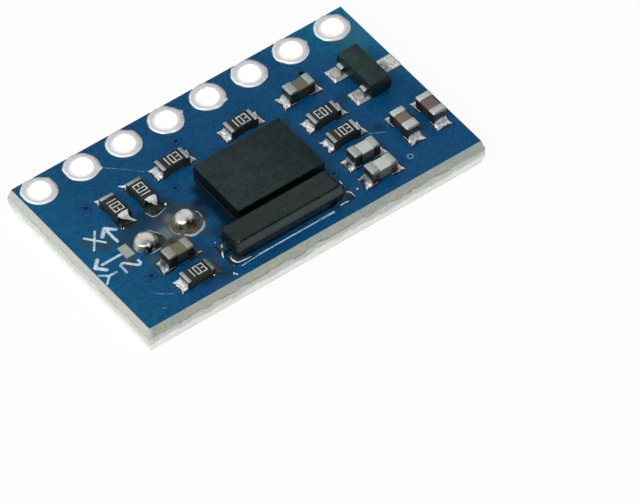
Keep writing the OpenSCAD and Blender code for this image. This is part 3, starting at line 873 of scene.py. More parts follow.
def make_world():
    """A ceiling with a soft edge, brighter than the rest of the room, and white to the camera."""
    world = bpy.data.worlds.new("studio")
    room = Network(world)
    room.tree.nodes.clear()
    towards = room.node("VectorMath", {"operation": "DOT_PRODUCT"},
                        {0: room.node("TexCoord", out="Generated"),
                         1: Vector(SKY_TILT).normalized()}, "Value")
    sky = room.node("Background", inputs={"Strength": room.band(towards, *SKY_EDGE, SKY_LEVELS)})
    white = room.node("Background", inputs={"Color": WHITE})
    both = room.mix(room.node("LightPath", out="Is Camera Ray"), sky, white)
    room.node("OutputWorld", inputs={"Surface": both})
    return world


bpy.context.scene.world = make_world()

# Place and size in millimetres, power in watts, and whether it shows in reflections
lamps = {
    "left_soft": ((-280, -90, 360), 260, 0.75, True),
    "front_strip": ((-120, -174, 397), 60, 0.3, True),
    "low_front": ((-110, -400, 150), 240, 0.6, False),
    "low_left": ((-420, 60, 90), 200, 0.1, False),
}
for name, (place, size, power, mirrored) in lamps.items():
    data = bpy.data.lights.new(name, "AREA")
    data.size = size * MM
    data.energy = power
    lamp = bpy.data.objects.new(name, data)
    lamp.location = Vector(place) * MM
    lamp.rotation_euler = (-lamp.location).to_track_quat("-Z", "Y").to_euler()
    lamp.visible_glossy = mirrored
    bpy.context.scene.collection.objects.link(lamp)
print("world and", len(lamps), "lamps ready")

# %% [markdown]
# ## The laminate with its torn edge
#
# The board was scored from both faces and snapped, so each edge is a groove's wall, a torn web and
# another groove's wall. A cube would not carry the tear. The outline is therefore drawn as a loop
# with many short edges, filled, and extruded upwards in steps that step out to the web and back.
# A displacement then roughens only the web, and a boolean drills the holes.

# %% Draw the outline, extrude it in steps and roughen the web
EDGE_CUTS = 143
SCORE_DEPTH = 0.55
WEB_LOW = 0.45
WEB_HIGH = 1.15
# Heights of the section's steps
levels = [0.04, 0.2, 0.38, 0.5, 0.56, 0.62, 0.7, 0.8, 0.9, 0.98, 1.04, 1.1, 1.22, 1.4, 1.56]


def half_size_at(z):
    """Half the board's length and width at a height, with the web standing out in the middle."""
    out = min(1.0, z / SCORE_DEPTH, (mask_top - z) / SCORE_DEPTH)
    return (mask_high.x + (board_high.x - mask_high.x) * out,
            mask_high.y + (board_high.y - mask_high.y) * out)


laminate = begin("laminate_torn", bpy.ops.mesh.primitive_plane_add, size=2)
bpy.ops.mesh.delete(type="ONLY_FACE")
for axis in range(2):
    choose("EDGE", lambda direction: abs(direction[axis]) > 0.5)
    bpy.ops.mesh.subdivide(number_cuts=EDGE_CUTS)
bpy.ops.mesh.select_all(action="SELECT")
bpy.ops.mesh.edge_face_add()
bpy.ops.transform.resize(value=(*half_size_at(levels[0]), 1))
bpy.ops.transform.translate(value=(0, 0, levels[0]))
for below, above in zip(levels, levels[1:]):
    extrude((0, 0, above - below))
    was, now = half_size_at(below), half_size_at(above)
    bpy.ops.transform.resize(value=(now[0] / was[0], now[1] / was[1], 1))
face_outwards()
choose("VERT", lambda place: WEB_LOW < place.z < WEB_HIGH)
laminate.vertex_groups.new(name="web")
bpy.ops.object.vertex_group_assign()
lumps(laminate, size=0.12, depth=0.11, group="web")
lumps(laminate, size=0.5, depth=0.09, group="web")
print("laminate", len(laminate.data.polygons), "faces before it is drilled")

# %% Drill the holes
PLATING = 0.04
DRILL_LOW = -1
DRILL_HIGH = 3
hole_radius = header_holes[0]["dims"]["r_mm"]
via_boxes = shells("vias")
via_spots = [(low + high) / 2 for low, high in via_boxes]
via_ring = (via_boxes[0][1].x - via_boxes[0][0].x) / 2


def drill(piece, spots, radius):
    """Cuts a hole at each spot, with cylinders joined into one cutter."""
    cutter = begin("cutter", bpy.ops.mesh.primitive_cylinder_add, vertices=48, radius=radius,
                   depth=DRILL_HIGH - DRILL_LOW)
    bpy.ops.transform.translate(value=(spots[0].x, spots[0].y, (DRILL_LOW + DRILL_HIGH) / 2))
    for before, after in zip(spots, spots[1:]):
        step = (after.x - before.x, after.y - before.y, 0)
        bpy.ops.mesh.duplicate_move(TRANSFORM_OT_translate={"value": step})
    modify(piece, "BOOLEAN", operation="DIFFERENCE", object=cutter, solver="EXACT")
    bpy.data.objects.remove(cutter)


drill(laminate, hole_spots, hole_radius + PLATING)
drill(laminate, via_spots, via_ring + 0.01)
smooth(laminate, 30)
settle(laminate, "glass_epoxy", stands_for=["laminate"])
print("laminate", len(laminate.data.polygons), "faces with its holes")

# %% [markdown]
# ## Mask, vias and lands
#
# These CAD nodes have their right shape, so they keep it and only take a finish.

# %% Give the plain nodes their finishes
plain_nodes = {"top_mask": "blue_mask", "bottom_mask": "plain_mask", "vias": "copper",
               "solder_lands": "land_tin", "sensor_joints": "solder"}
for node, finish in plain_nodes.items():
    for material_slot in frame["nodes"][node].material_slots:
        material_slot.material = finishes[finish]
print("dressed", len(plain_nodes), "nodes")

# %% [markdown]
# ## Plated holes
#
# A plated hole is a turned shape: the barrel's wall, a rolled lip, a ring of tin that the hot air
# left slightly domed, and the same ring below. A profile is drawn by extruding one vertex from
# point to point, and spun round the hole's axis. The tin's outline is never quite round, so each
# copy is moved in and out a little by noise that depends on its place. Where a trace leaves a
# ring, its tin runs out in a small point.

# %% Draw a profile and spin it


def lathe(name, points, steps):
    """Draws a closed outline in the XZ plane, and spins it round the Z axis into a solid."""
    piece = begin(name, bpy.ops.mesh.primitive_plane_add, size=0.1)
    bpy.ops.mesh.merge(type="CENTER")
    bpy.ops.transform.translate(value=(points[0][0], 0, points[0][1]))
    for before, after in zip(points, points[1:]):
        extrude((after[0] - before[0], 0, after[1] - before[1]))
    ends = (points[0], points[-1])
    choose("VERT", lambda place: any(abs(place.x - x) + abs(place.z - z) < 1e-5 for x, z in ends))
    bpy.ops.mesh.edge_face_add()
    bpy.ops.mesh.select_all(action="SELECT")
    bpy.ops.mesh.spin(steps=steps, angle=2 * math.pi, center=(0, 0, 0), axis=(0, 0, 1))
    bpy.ops.mesh.select_all(action="SELECT")
    bpy.ops.mesh.remove_doubles(threshold=1e-4)
    face_outwards()
    solo(piece)
    return piece


def copy_of(piece, name):
    """A copy of a piece with its own mesh."""
    twin = piece.copy()
    twin.data = piece.data.copy()
    twin.name = name
    twin.data.name = name
    bpy.context.scene.collection.objects.link(twin)
    return twin


ring_low, ring_high = box_mm("header_hole_1")
ring_radius = (ring_high.x - ring_low.x) / 2
core_top = board_high.z
ring_profile = [
    (hole_radius, 0.05), (hole_radius, core_top), (hole_radius + 0.02, land_top),
    (hole_radius + 0.07, land_top + 0.025), (hole_radius + 0.14, land_top + 0.032),
    (ring_radius - 0.14, land_top + 0.029), (ring_radius - 0.05, land_top + 0.021),
    (ring_radius - 0.01, land_top - 0.01), (ring_radius, core_top),
    (hole_radius + PLATING, core_top), (hole_radius + PLATING, 0.04), (ring_radius, 0.04),
    (ring_radius - 0.02, 0.012), (ring_radius - 0.07, 0.0), (hole_radius + 0.06, 0.0),
    (hole_radius + 0.01, 0.02),
]
ring_pattern = lathe("ring_pattern", ring_profile, 72)
print("ring", len(ring_pattern.data.polygons), "faces")

# %% Copy the ring to each hole
# How far the outline moves, and the width of the tin beside the bore that stays round
WOBBLE = 0.1
STILL = 0.1
# The points: their length, half their spread in degrees, and which ring has one at which angle
POINT_LENGTH = 0.12
POINT_SPREAD = 12
ring_points = {2: -43, 4: 0, 5: -48, 7: 0}


def wobble(piece, centre, point=None):
    """Moves a ring's outer part in and out by noise, and draws out a point at an angle."""
    inner = hole_radius + STILL
    for vertex in piece.data.vertices:
        flat = Vector((vertex.co.x, vertex.co.y, 0))
        radius = flat.length
        if radius > inner:
            outwards = flat.normalized()
            push = noise.noise(outwards * 2.2 + centre * 3) * WOBBLE
            if point is not None and vertex.co.z > core_top / 2:
                away = abs(math.degrees(math.atan2(flat.y, flat.x)) - point)
                push += POINT_LENGTH * max(0.0, 1 - away / POINT_SPREAD)
            vertex.co += outwards * push * (radius - inner) / (ring_radius - inner)


for number, spot in enumerate(hole_spots, 1):
    ring = copy_of(ring_pattern, f"header_ring_{number}")
    flat_spot = Vector((spot.x, spot.y, 0))
    wobble(ring, flat_spot, ring_points.get(number))
    edit(ring)
    # The board's back edge cuts the rings off
    bpy.ops.mesh.bisect(plane_co=(0, mask_high.y - spot.y, 0), plane_no=(0, 1, 0),
                        clear_outer=True, use_fill=True, threshold=1e-5)
    smooth(ring, 50)
    settle(ring, "ring_tin", Matrix.Translation(flat_spot), [f"header_hole_{number}"])
bpy.data.objects.remove(ring_pattern)
print("placed", len(hole_spots), "plated holes")

# %% [markdown]
# ## Vias that the mask has closed
#
# The mask has run over most of the vias and shows them as a low collar round a shallow dip. Bumps
# in a material would vanish at the outline, so the collar is spun from a profile like the rings.
# The via by the back edge stayed open, and the one by the front right corner has a small pale
# collar.

# %% Close the vias
PALE_COLLAR_SIZE = 0.72
tent_profile = [
    (1e-4, 0.003), (0.07, 0.003), (0.11, 0.008), (0.15, 0.022), (0.2, 0.026), (0.25, 0.018),
    (0.29, 0.002), (0.29, -0.004), (1e-4, -0.004),
]
tent_pattern = lathe("tent_pattern", tent_profile, 40)
smooth(tent_pattern, 60)
closed_vias = [spot for spot in via_spots if spot.x < 5 or spot.y < 0]
for number, spot in enumerate(closed_vias, 1):
    tent = copy_of(tent_pattern, f"via_tent_{number}")
    pale = spot.x > 5
    size = PALE_COLLAR_SIZE if pale else 1.0
    place = Matrix.Translation((spot.x, spot.y, mask_top)) @ Matrix.Diagonal((size, size, 1, 1))
    settle(tent, "pale_via_mask" if pale else "via_mask", place)
bpy.data.objects.remove(tent_pattern)
print("closed", len(closed_vias), "of", len(via_spots), "vias")

# %% [markdown]
# ## Softened pieces
#
# Moulded bodies, leads and terminals have their right form in the CAD, but with edges as sharp as
# a knife. A copy of the node's mesh is merged, its coplanar triangles are dissolved into whole
# faces, and a bevel rounds every edge by a real radius. The crystal's body has no crisp edge at
# all, so its surface is drawn again in small cells and smoothed.

# %% Copy a node and round its edges
FLAT_ANGLE = math.radians(2)
EDGE_ANGLE = math.radians(28)
SMOOTHING_ROUNDS = 90


def soften(node, radius, finish, segments=2, cell=None):
    """A copy of a CAD node with its edges rounded, which stands for that node."""
    piece = bpy.data.objects.new(node + "_soft", frame["nodes"][node].data.copy())
    bpy.context.scene.collection.objects.link(piece)
    piece.data.transform(Matrix.Scale(1 / MM, 4))
    edit(piece)
    bpy.ops.mesh.customdata_custom_splitnormals_clear()
    bpy.ops.mesh.remove_doubles(threshold=1e-4)
    bpy.ops.mesh.dissolve_limited(angle_limit=FLAT_ANGLE)
    modify(piece, "BEVEL", width=radius, segments=segments, limit_method="ANGLE",
           angle_limit=EDGE_ANGLE, use_clamp_overlap=True)
    if cell:
        modify(piece, "REMESH", mode="VOXEL", voxel_size=cell)
        modify(piece, "SMOOTH", factor=0.5, iterations=SMOOTHING_ROUNDS)
    smooth(piece, 50)
    settle(piece, finish, stands_for=[node])


soften("sensor_cap", 0.04, "sensor_mould")
soften("sensor_substrate", 0.02, "substrate")
soften("crystal_body", 0.11, "crystal_mould", segments=4, cell=0.035)
soften("crystal_terminals", 0.02, "dark_lead")
soften("regulator_body", 0.06, "regulator_mould", segments=3)
soften("regulator_leads", 0.02, "lead_metal")
print("softened the moulded bodies and leads")

# %% Chip resistors and capacitors
# The finish of each capacitor and of its ends
capacitors = {
    "capacitor_1": ("tan_ceramic", "tan_end"),
    "capacitor_2": ("grey_ceramic", "pale_end"),
    "capacitor_3": ("grey_ceramic", "pale_end"),
    "capacitor_4": ("olive_ceramic", "warm_end"),
    "capacitor_5": ("brown_ceramic", "white_end"),
    "capacitor_6": ("red_ceramic", "white_end"),
}
resistors = [f"resistor_{number}" for number in range(1, 8)]
for node in resistors:
    soften(node, 0.02, "resistor_body")
    soften(node + "_terminals", 0.025, "resistor_end")
for node, (finish, end_finish) in capacitors.items():
    soften(node, 0.03, finish)
    soften(node + "_terminals", 0.035, end_finish, segments=3)
print("softened", len(resistors), "resistors and", len(capacitors), "capacitors")

# %% [markdown]
# ## Solder
#
# Liquid solder draws itself into a smooth curve between the land and the part: steep against the
# part, nearly level at the toe, thin at the land's corners. No single operator draws that, so a
# grid is extruded into a slab and its upper vertices take their heights from a formula, with a
# little noise that depends on the place. Level solder mirrors the bright ceiling and its slopes
# mirror the dark room, which gives the broken white shapes of the photograph.

# %% A slab whose top follows a formula
# Pieces that stand for a whole CAD node of solder
solder_nodes = {
    "resistor_1_solder_1": ["resistor_solder"], "capacitor_1_solder_1": ["capacitor_solder"],
    "crystal_solder_1": ["crystal_solder"], "regulator_solder_1": ["regulator_solder"],
}


def pour(name, cells, shape, finish, place, thickness=None):
    """A closed slab: shape(u, v) gives x, y and height over the grid from -1 to 1 both ways.

    Its underside lies at height 0, or follows the top at a thickness below it."""
    piece = begin(name, bpy.ops.mesh.primitive_grid_add, x_subdivisions=cells[0],
                  y_subdivisions=cells[1], size=2)
    extrude((0, 0, 1))
    face_outwards()
    solo(piece)
    for vertex in piece.data.vertices:
        x, y, z = shape(vertex.co.x, vertex.co.y)
        below = 0 if thickness is None else z - thickness
        vertex.co = (x, y, z if vertex.co.z > 0.5 else below)
    smooth(piece, 60)
    settle(piece, finish, place, solder_nodes.get(name, ()))


def turned(spot, angle, z):
    """A place on the board, as a matrix in millimetres; the angle is in degrees."""
    return Matrix.Translation((spot[0], spot[1], z)) @ Matrix.Rotation(math.radians(angle), 4, "Z")


def nearest_land(spot):
    """Lowest and highest corner of the land whose middle is nearest."""
    return min(lands, key=lambda land: ((land[0] + land[1]) / 2 - spot).xy.length)


def ripple(x, y, z):
    """Soft noise from -1 to 1 at a place."""
    return noise.noise(Vector((x, y, z)))


def clamp(value):
    """A value held between 0 and 1."""
    return min(1.0, max(0.0, value))


print("tools for solder ready")

# %% [markdown]
# ## Solder of the chip parts
#
# Each end of a resistor or capacitor stands in solder that climbs part of its height and runs out
# over the rest of its land. The formula is written once for an end that looks along X, and each
# end gives it its own sizes and its own place in the noise, so no two are alike.

# %% The solder of one chip end
# Thickness of the solder on a land and at its rim
FILM = 0.03
RIM = 0.008
# How much of the reach the hollow curve takes, and half the width below the part as a share of it
CURVE_SHARE = 0.62
HIDDEN_SHARE = 0.47


def chip_end(part_width, reach, under, width, climb, seed):
    """The formula of one chip end: the part stands at x < 0 and the toe lies at x = reach."""
    hidden = HIDDEN_SHARE * part_width

    def shape(u, v):
        side = abs(v)
        spot = Vector((u * 1.2, v * 1.2, seed * 3.7))
        wave = 0.6 * noise.noise(spot * 1.3) + 0.4 * noise.noise(spot * 3.7)
        # The toe is drawn back in the middle and here and there, and pointed at the land's corners
        torn = clamp(ripple(v * 2.4, seed * 5.1, 0.3))
        tail = 1 - 0.3 * (1 - side ** 1.5) * (0.8 + wave) - 0.3 * torn
        x = -under + (reach * tail + under) * (u + 1) / 2
        toe = clamp(x / reach)
        # It is as narrow as the part below it, and has a waist before the toe
        half = hidden + (width / 2 - hidden) * clamp(x / 0.07)
        bay = clamp(ripple(u * 2.2, 3.0 * (v > 0), seed * 1.7))
        half *= 1 - (0.12 + 0.3 * bay) * math.sin(math.pi * toe)
        across = v * half
        height = FILM
        if x > 0:
            # A hollow curve down from the part, and a low swelling along the toe
            hollow = 1 - math.sqrt(1 - (1 - clamp(x / (CURVE_SHARE * reach))) ** 2)
            beside = clamp((part_width / 2 + 0.03 - abs(across)) / 0.12)
            height += climb * hollow * beside * (1 + 0.3 * wave)
            height += 0.03 * math.sin(math.pi * toe) * (0.6 + wave)
        rim = clamp(18 * (1 - side)) * clamp(18 * (1 - u))
        return (x, across, RIM + max(0.0, height - RIM) * math.sqrt(rim))

    return shape


print("chip solder ready")

# %% Solder both ends of each chip part
# Each end takes the next of 17 places in the noise
FIRST_SEED = 4
SEEDS = 17
RESISTOR_CLIMB = 0.75
CAPACITOR_CLIMB = 0.5
# Ends that the flux has left dark, brown or stained
toe_finish = {
    "resistor_1_solder_1": "dark_solder", "resistor_2_solder_1": "dark_solder",
    "resistor_7_solder_2": "brown_solder", "capacitor_4_solder_2": "brown_solder",
    "capacitor_2_solder_1": "toe_solder", "capacitor_3_solder_1": "toe_solder",
    "capacitor_4_solder_1": "toe_solder",
}


def solder_chip(node, climb, seed):
    """Solder at both ends of a chip part, which climbs a share of its height."""
    low, high = box_mm(node + "_terminals")
    size = high - low
    along_x = size.x > size.y
    length, part_width = (size.x, size.y) if along_x else (size.y, size.x)
    for end, angle in enumerate([180, 0] if along_x else [-90, 90]):
        turn = math.radians(angle)
        direction = Vector((math.cos(turn), math.sin(turn), 0))
        spot = (low + high) / 2 + direction * length / 2
        land = nearest_land(spot)
        far = max((land[0] - spot).dot(direction), (land[1] - spot).dot(direction))
        land_size = land[1] - land[0]
        land_length, land_width = land_size.xy if along_x else land_size.yx
        name = f"{node}_solder_{end + 1}"
        shape = chip_end(part_width, far + 0.01, land_length - far, land_width + 0.02,
                         climb * size.z, (seed + end) % SEEDS)
        finish = toe_finish.get(name, "solder")
        pour(name, (36, 36), shape, finish, turned(spot, angle, land_top))


for number, node in enumerate([*resistors, *capacitors]):
    climb = RESISTOR_CLIMB if node in resistors else CAPACITOR_CLIMB
    solder_chip(node, climb, FIRST_SEED + 2 * number)
print("soldered", len(resistors) + len(capacitors), "chip parts")

# %% [markdown]
# ## Tongues of solder
#
# On the near ends of the first two resistors the iron has dragged solder up over the terminal in a
# pale tongue, wide on top and narrow down the end. Its outline follows a line of stations, each
# with its place, half its width and its height, and the slab from before is laid along them.

# %% Solder that has run over two ends
# How far out from the part's end, how far across, half the width, and the height over its top
tongues = {
    "resistor_1": [(-0.27, 0.0, 0.17, -0.04), (-0.2, 0.07, 0.3, 0.03), (-0.06, -0.02, 0.33, 0.05),
                   (0.05, 0.0, 0.2, -0.02), (0.09, 0.12, 0.08, -0.18), (0.15, 0.28, 0.05, -0.34),
                   (0.3, 0.43, 0.05, -0.44)],
    "resistor_2": [(-0.26, -0.02, 0.16, -0.04), (-0.16, 0.0, 0.33, 0.03), (-0.02, 0.02, 0.27, 0.05),
                   (0.07, 0.08, 0.15, -0.06), (0.13, 0.15, 0.08, -0.24), (0.18, 0.18, 0.03, -0.38)],
}


def stretch_of(path, share):
    """Which stretch of a path a share of its length falls in, and how far along that stretch."""
    step = share * (len(path) - 1)
    index = min(int(step), len(path) - 2)
    return index, step - index


def fan(name, place, top, line, seed):
    """A tongue of solder along the stations of a line."""

    def shape(u, v):
        index, share = stretch_of(line, (u + 1) / 2)
        x, y, half, z = (a + (b - a) * share for a, b in zip(line[index], line[index + 1]))
        wave = ripple(u * 2.4, v * 2.4, seed)
        crown = 0.03 * (1 - v * v)
        return (x + 0.04 * wave, y + v * half * (1 + 0.3 * wave), top + z + crown + 0.02 * wave)

    pour(name, (40, 14), shape, "white_solder", place, thickness=0.09)


for number, (node, line) in enumerate(tongues.items(), 1):
    low, high = box_mm(node + "_terminals")
    place = turned(((low.x + high.x) / 2, low.y), -90, land_top)
    fan(node + "_fan", place, high.z - land_top, line, number * 2.3)
print("ran solder over", len(tongues), "ends")

# %% [markdown]
# ## Solder round flat feet
#
# The crystal's terminals and the regulator's leads are flat feet that stand in the solder. It is
# highest close round the foot and falls away quickly, and it dips under the foot itself. The
# height is an exponential of the distance from the foot, which is what such a meniscus looks like.

# %% Crystal and regulator solder
# How far the solder reaches out from a foot, and how high it stands at the regulator's
MENISCUS = 0.08
REGULATOR_FOOT = 0.13


def foot_solder(name, land, tip, direction, foot_width, foot_height, finish):
    """Solder over a land, round a foot whose tip points in a direction."""
    middle = (land[0] + land[1]) / 2
    half = (land[1] - land[0]) / 2

    def shape(u, v):
        x, y = u * half.x, v * half.y
        spot = Vector((middle.x + x, middle.y + y, 0))
        past_tip = (spot - tip).dot(direction)
        beside = abs((spot - tip).cross(direction).z) - foot_width / 2
        wave = 0.7 * noise.noise(spot * 3.1) + 0.5 * noise.noise(spot * 8.0)
        height = FILM
        if past_tip >= 0 or beside >= 0:
            gap = max(past_tip, beside, 0.0)
            height += (foot_height * 1.1) * math.exp(-gap / MENISCUS) * (1 + 0.4 * wave)
        rim = clamp(5 * (1 - abs(u))) * clamp(5 * (1 - abs(v)))
        return (x, y, 0.012 + (height + 0.04 * max(0.0, wave)) * (0.3 + 0.7 * rim))

    pour(name, (26, 22), shape, finish, turned(middle, 0, land_top))


def solder_feet(part, feet, finish, foot_height=None):
    """Solder round each foot of a part, whose height is its own unless it is given."""
    body_low, body_high = box_mm(part + "_body")
    for number, (low, high) in enumerate(shells(feet), 1):
        middle = (low + high) / 2
        side = 1 if middle.x > (body_low.x + body_high.x) / 2 else -1
        tip = Vector((high.x if side > 0 else low.x, middle.y, 0))
        foot_solder(f"{part}_solder_{number}", nearest_land(tip), tip, Vector((side, 0, 0)),
                    high.y - low.y, foot_height or high.z - low.z, finish)


solder_feet("crystal", "crystal_terminals", "blue_solder")
solder_feet("regulator", "regulator_leads", "solder", REGULATOR_FOOT)
print("soldered the crystal and the regulator")

# %% [markdown]
# ## Solder jumpers
#
# A jumper is a dome of solder over two small lands. Its top is flatter than a ball's, because the
# drop was wide and sank under its own weight. A ball of many faces is cut in half, its heights are
# drawn out to that profile, it is pressed to its height and roughened.

# %% Domes
# The power that flattens the top, and the height left for the roughness
DOME_FLATNESS = 4.4
DOME_SINK = 0.03


def jumper_dome(node, grow, shift):
    """A flat-topped dome, a little larger than its CAD node and off its middle."""
    low, high = box_mm(node)
    middle = (low + high) / 2
    half = (high - low) / 2
    piece = begin(node + "_dome", bpy.ops.mesh.primitive_uv_sphere_add, segments=64, ring_count=48,
                  radius=1)
    bpy.ops.mesh.bisect(plane_co=(0, 0, 0), plane_no=(0, 0, 1), clear_inner=True, use_fill=True)
    solo(piece)
    for vertex in piece.data.vertices:
        reach = min(1.0, vertex.co.xy.length)
        vertex.co.z = math.sqrt(1 - reach ** DOME_FLATNESS) if vertex.co.z > 1e-4 else 0
    edit(piece)
    bpy.ops.transform.resize(value=(half.x + grow[0], half.y + grow[1], 2 * half.z - DOME_SINK),
                             center_override=(0, 0, 0))
    solo(piece)
    piece.data.transform(Matrix.Translation((middle.x + shift[0], middle.y + shift[1], 0)))
    lumps(piece, size=0.5, depth=0.07)
    lumps(piece, size=0.22, depth=0.03)
    smooth(piece, 50)
    settle(piece, "dome_solder", Matrix.Translation((0, 0, low.z)), [node])


jumper_dome("jumper_1", (0.07, 0.04), (-0.07, -0.02))
jumper_dome("jumper_2", (0.03, 0.0), (-0.04, 0.02))
print("pressed 2 domes")

# %% [markdown]
# ## Flux round the jumpers
#
# The flux that boiled out of the solder lies round it as thin amber pools. Each pool's edge is a
# circle drawn in and out by noise. Where it stands up as a bead, the same edge is followed between
# two angles, so that bead and pool always meet; the bead's pale colour is a painted glint. The dark
# pool round the first dome is flux with painted shade. Brown rings show where the flux boiled.

# %% Pools of flux and their rims
# Centre, half the width each way, height, place in the noise, and finish
pools = {
    "dome_2": ((-4.62, -1.3), (0.85, 0.85), 0.035, 1.5, "flux_film"),
    # The first dome's dark pool is flux and painted shade
    "dome_1": ((-6.85, -1.2), (0.8, 0.78), 0.03, 4.5, "dark_flux"),
    "end": ((-5.25, 0.45), (0.52, 0.5), 0.13, 7.5, "dark_flux"),
    "between": ((-5.75, -2.0), (0.75, 0.4), 0.02, 9.5, "flux_film"),
}
# Pool, start and end of the rim in degrees, width and height
rims = [
    ("dome_2", 225, 335, 0.15, 0.06), ("dome_2", 345, 385, 0.06, 0.02),
    ("dome_2", 165, 222, 0.05, 0.03), ("dome_1", 5, 55, 0.06, 0.03),
    ("dome_1", 235, 300, 0.1, 0.04), ("end", 175, 330, 0.06, 0.035),
]


def pool_edge(radii, angle, seed):
    """How far a pool's edge lies from its centre, along X and Y, at an angle in radians."""
    grow = 1 + 0.22 * ripple(math.cos(angle) * 1.2, math.sin(angle) * 1.2, seed)
    return math.cos(angle) * radii[0] * grow, math.sin(angle) * radii[1] * grow


def flux_pool(name, centre, radii, height, seed, finish):
    """A thin film with an uneven edge."""

    def shape(u, v):
        # A square grid is bent into a disc
        x = u * math.sqrt(1 - v * v / 2)
        y = v * math.sqrt(1 - u * u / 2)
        reach = math.hypot(x, y)
        edge = pool_edge(radii, math.atan2(y, x), seed)
        rise = height * (1 - reach ** 4) * (1 + 0.5 * ripple(x * 2, y * 2, seed + 5))
        return (edge[0] * reach, edge[1] * reach, 0.004 + max(0.0, rise))

    pour(name, (30, 30), shape, finish, turned(centre, 0, mask_top))


def pool_rim(name, centre, radii, seed, start, end, width, height):
    """The bead where a pool's edge stands up, between two angles in degrees, pale as a painted
    glint.
    """

    def shape(u, v):
        angle = math.radians(start + (end - start) * (u + 1) / 2)
        x, y = pool_edge(radii, angle, seed)
        taper = math.sqrt(1 - u ** 4)
        shift = v * width / 2 * (0.15 + 0.85 * taper) * (1 + 0.4 * ripple(u * 3, seed, 1))
        rise = height * taper * (1 - v * v)
        return (x + math.cos(angle) * shift, y + math.sin(angle) * shift, 0.003 + rise)

    pour(name, (48, 8), shape, "flux_rim", turned(centre, 0, mask_top))


for name, pool in pools.items():
    flux_pool("flux_pool_" + name, *pool)
for number, (name, start, end, width, height) in enumerate(rims, 1):
    centre, radii, _, seed, _ = pools[name]
    pool_rim(f"flux_rim_{number}", centre, radii, seed, start, end, width, height)
print("laid", len(pools), "pools of flux and", len(rims), "rims")

# %% [markdown]
# ## Beads, streaks and rings
#
# Small drops of solder have spattered on the mask. Here and there a thin line of white solder is
# laid where a solder edge glints, as a painted highlight. A drop is a ball that is pressed flat and
# made uneven. A line is the slab from before, laid along a smooth curve through a few points and
# thinned out at both ends. The brown rings are such lines too, along part of a circle.

# %% Beads
BEAD_RISE = 0.03
BEAD_HALF_HEIGHT = 0.045
# Place and radius
beads = [
    (-4.66, 0.3, 0.07), (-4.7, -5.43, 0.06), (-4.62, -5.55, 0.05), (-4.25, -3.25, 0.03),
    (3.3, -4.65, 0.05), (-7.22, 0.31, 0.09), (-5.52, -4.9, 0.06), (-5.22, -4.84, 0.07),
    (-4.1, -3.6, 0.06), (-4.4, -4.97, 0.06),
]
for number, (x, y, radius) in enumerate(beads, 1):
    bead = begin(f"solder_bead_{number}", bpy.ops.mesh.primitive_uv_sphere_add, segments=24,
                 ring_count=16, radius=1)
    bpy.ops.transform.resize(value=(radius, radius, BEAD_HALF_HEIGHT))
    lumps(bead, size=0.1, depth=0.02)
    smooth(bead, 60)
    settle(bead, "white_solder", Matrix.Translation((x, y, mask_top + BEAD_RISE)))
print("dropped", len(beads), "beads")

# %% Streaks and rings


def curve_point(path, share):
    """A point on the smooth curve through a few points."""
    index, t = stretch_of(path, share)
    a, b = path[index], path[index + 1]
    before = path[index - 1] if index else 2 * a - b
    after = path[index + 2] if index + 2 < len(path) else 2 * b - a
    return 0.5 * (2 * a + (b - before) * t + (2 * before - 5 * a + 4 * b - after) * t ** 2
                  + (3 * a - before - 3 * b + after) * t ** 3)


def streak(name, points, width, height, finish):
    """A narrow bead along a smooth curve, which thins out at both ends."""
    path = [Vector(point) for point in points]

    def shape(u, v):
        share = (u + 1) / 2
        here = curve_point(path, share)
        ahead = curve_point(path, min(1.0, share + 0.02)) - curve_point(path, max(0.0, share - 0.02))
        sideways = Vector((-ahead.y, ahead.x, 0)).normalized()
        taper = 1 - abs(u) ** 3
        wave = noise.noise(here * 4)
        spot = here + sideways * v * width / 2 * (0.12 + 0.88 * taper) * (1 + 0.6 * wave)
        return (spot.x, spot.y, spot.z + height * (1 - v * v) * (0.1 + 0.9 * taper))

    pour(name, (40, 6), shape, finish, Matrix.Translation((0, 0, mask_top)), thickness=0.03)


def arc(centre, radius, start, end, z):
    """Points on part of a circle, between two angles in degrees."""
    angles = [math.radians(start + (end - start) * step / 6) for step in range(7)]
    return [(centre[0] + radius * math.cos(a), centre[1] + radius * math.sin(a), z) for a in angles]


STREAK_HEIGHT = 0.04
# Painted highlights of white solder: width and points, whose heights are over the mask
glint_streaks = [
    (0.1, [(-5.8, 2.7, 0.03), (-5.62, 2.5, 0.05), (-5.5, 2.42, 0.08)]),
    (0.09, [(-5.52, -3.29, 0.05), (-5.3, -3.27, 0.05), (-5.07, -3.3, 0.05)]),
    (0.12, [(-4.12, -3.66, 0.2), (-4.2, -3.74, 0.21), (-4.27, -3.85, 0.2)]),
    (0.08, [(-4.38, -4.02, 0.2), (-4.46, -4.14, 0.15), (-4.54, -4.34, 0.08)]),
    (0.07, [(-4.24, -4.5, 0.2), (-4.33, -4.7, 0.21), (-4.29, -4.92, 0.2), (-4.1, -5.03, 0.12),
            (-3.4, -5.07, 0.08)]),
    (0.09, [(2.92, -3.68, 0.05), (2.9, -3.8, 0.06), (2.9, -3.97, 0.05)]),
    (0.07, [(2.55, -4.62, 0.1), (2.75, -4.55, 0.1), (2.88, -4.7, 0.09), (2.92, -5.0, 0.06)]),
    (0.05, [(1.95, -5.06, 0.08), (2.2, -5.06, 0.1), (2.5, -5.06, 0.08)]),
]
for number, (width, points) in enumerate(glint_streaks, 1):
    streak(f"glint_streak_{number}", points, width, STREAK_HEIGHT, "white_solder")
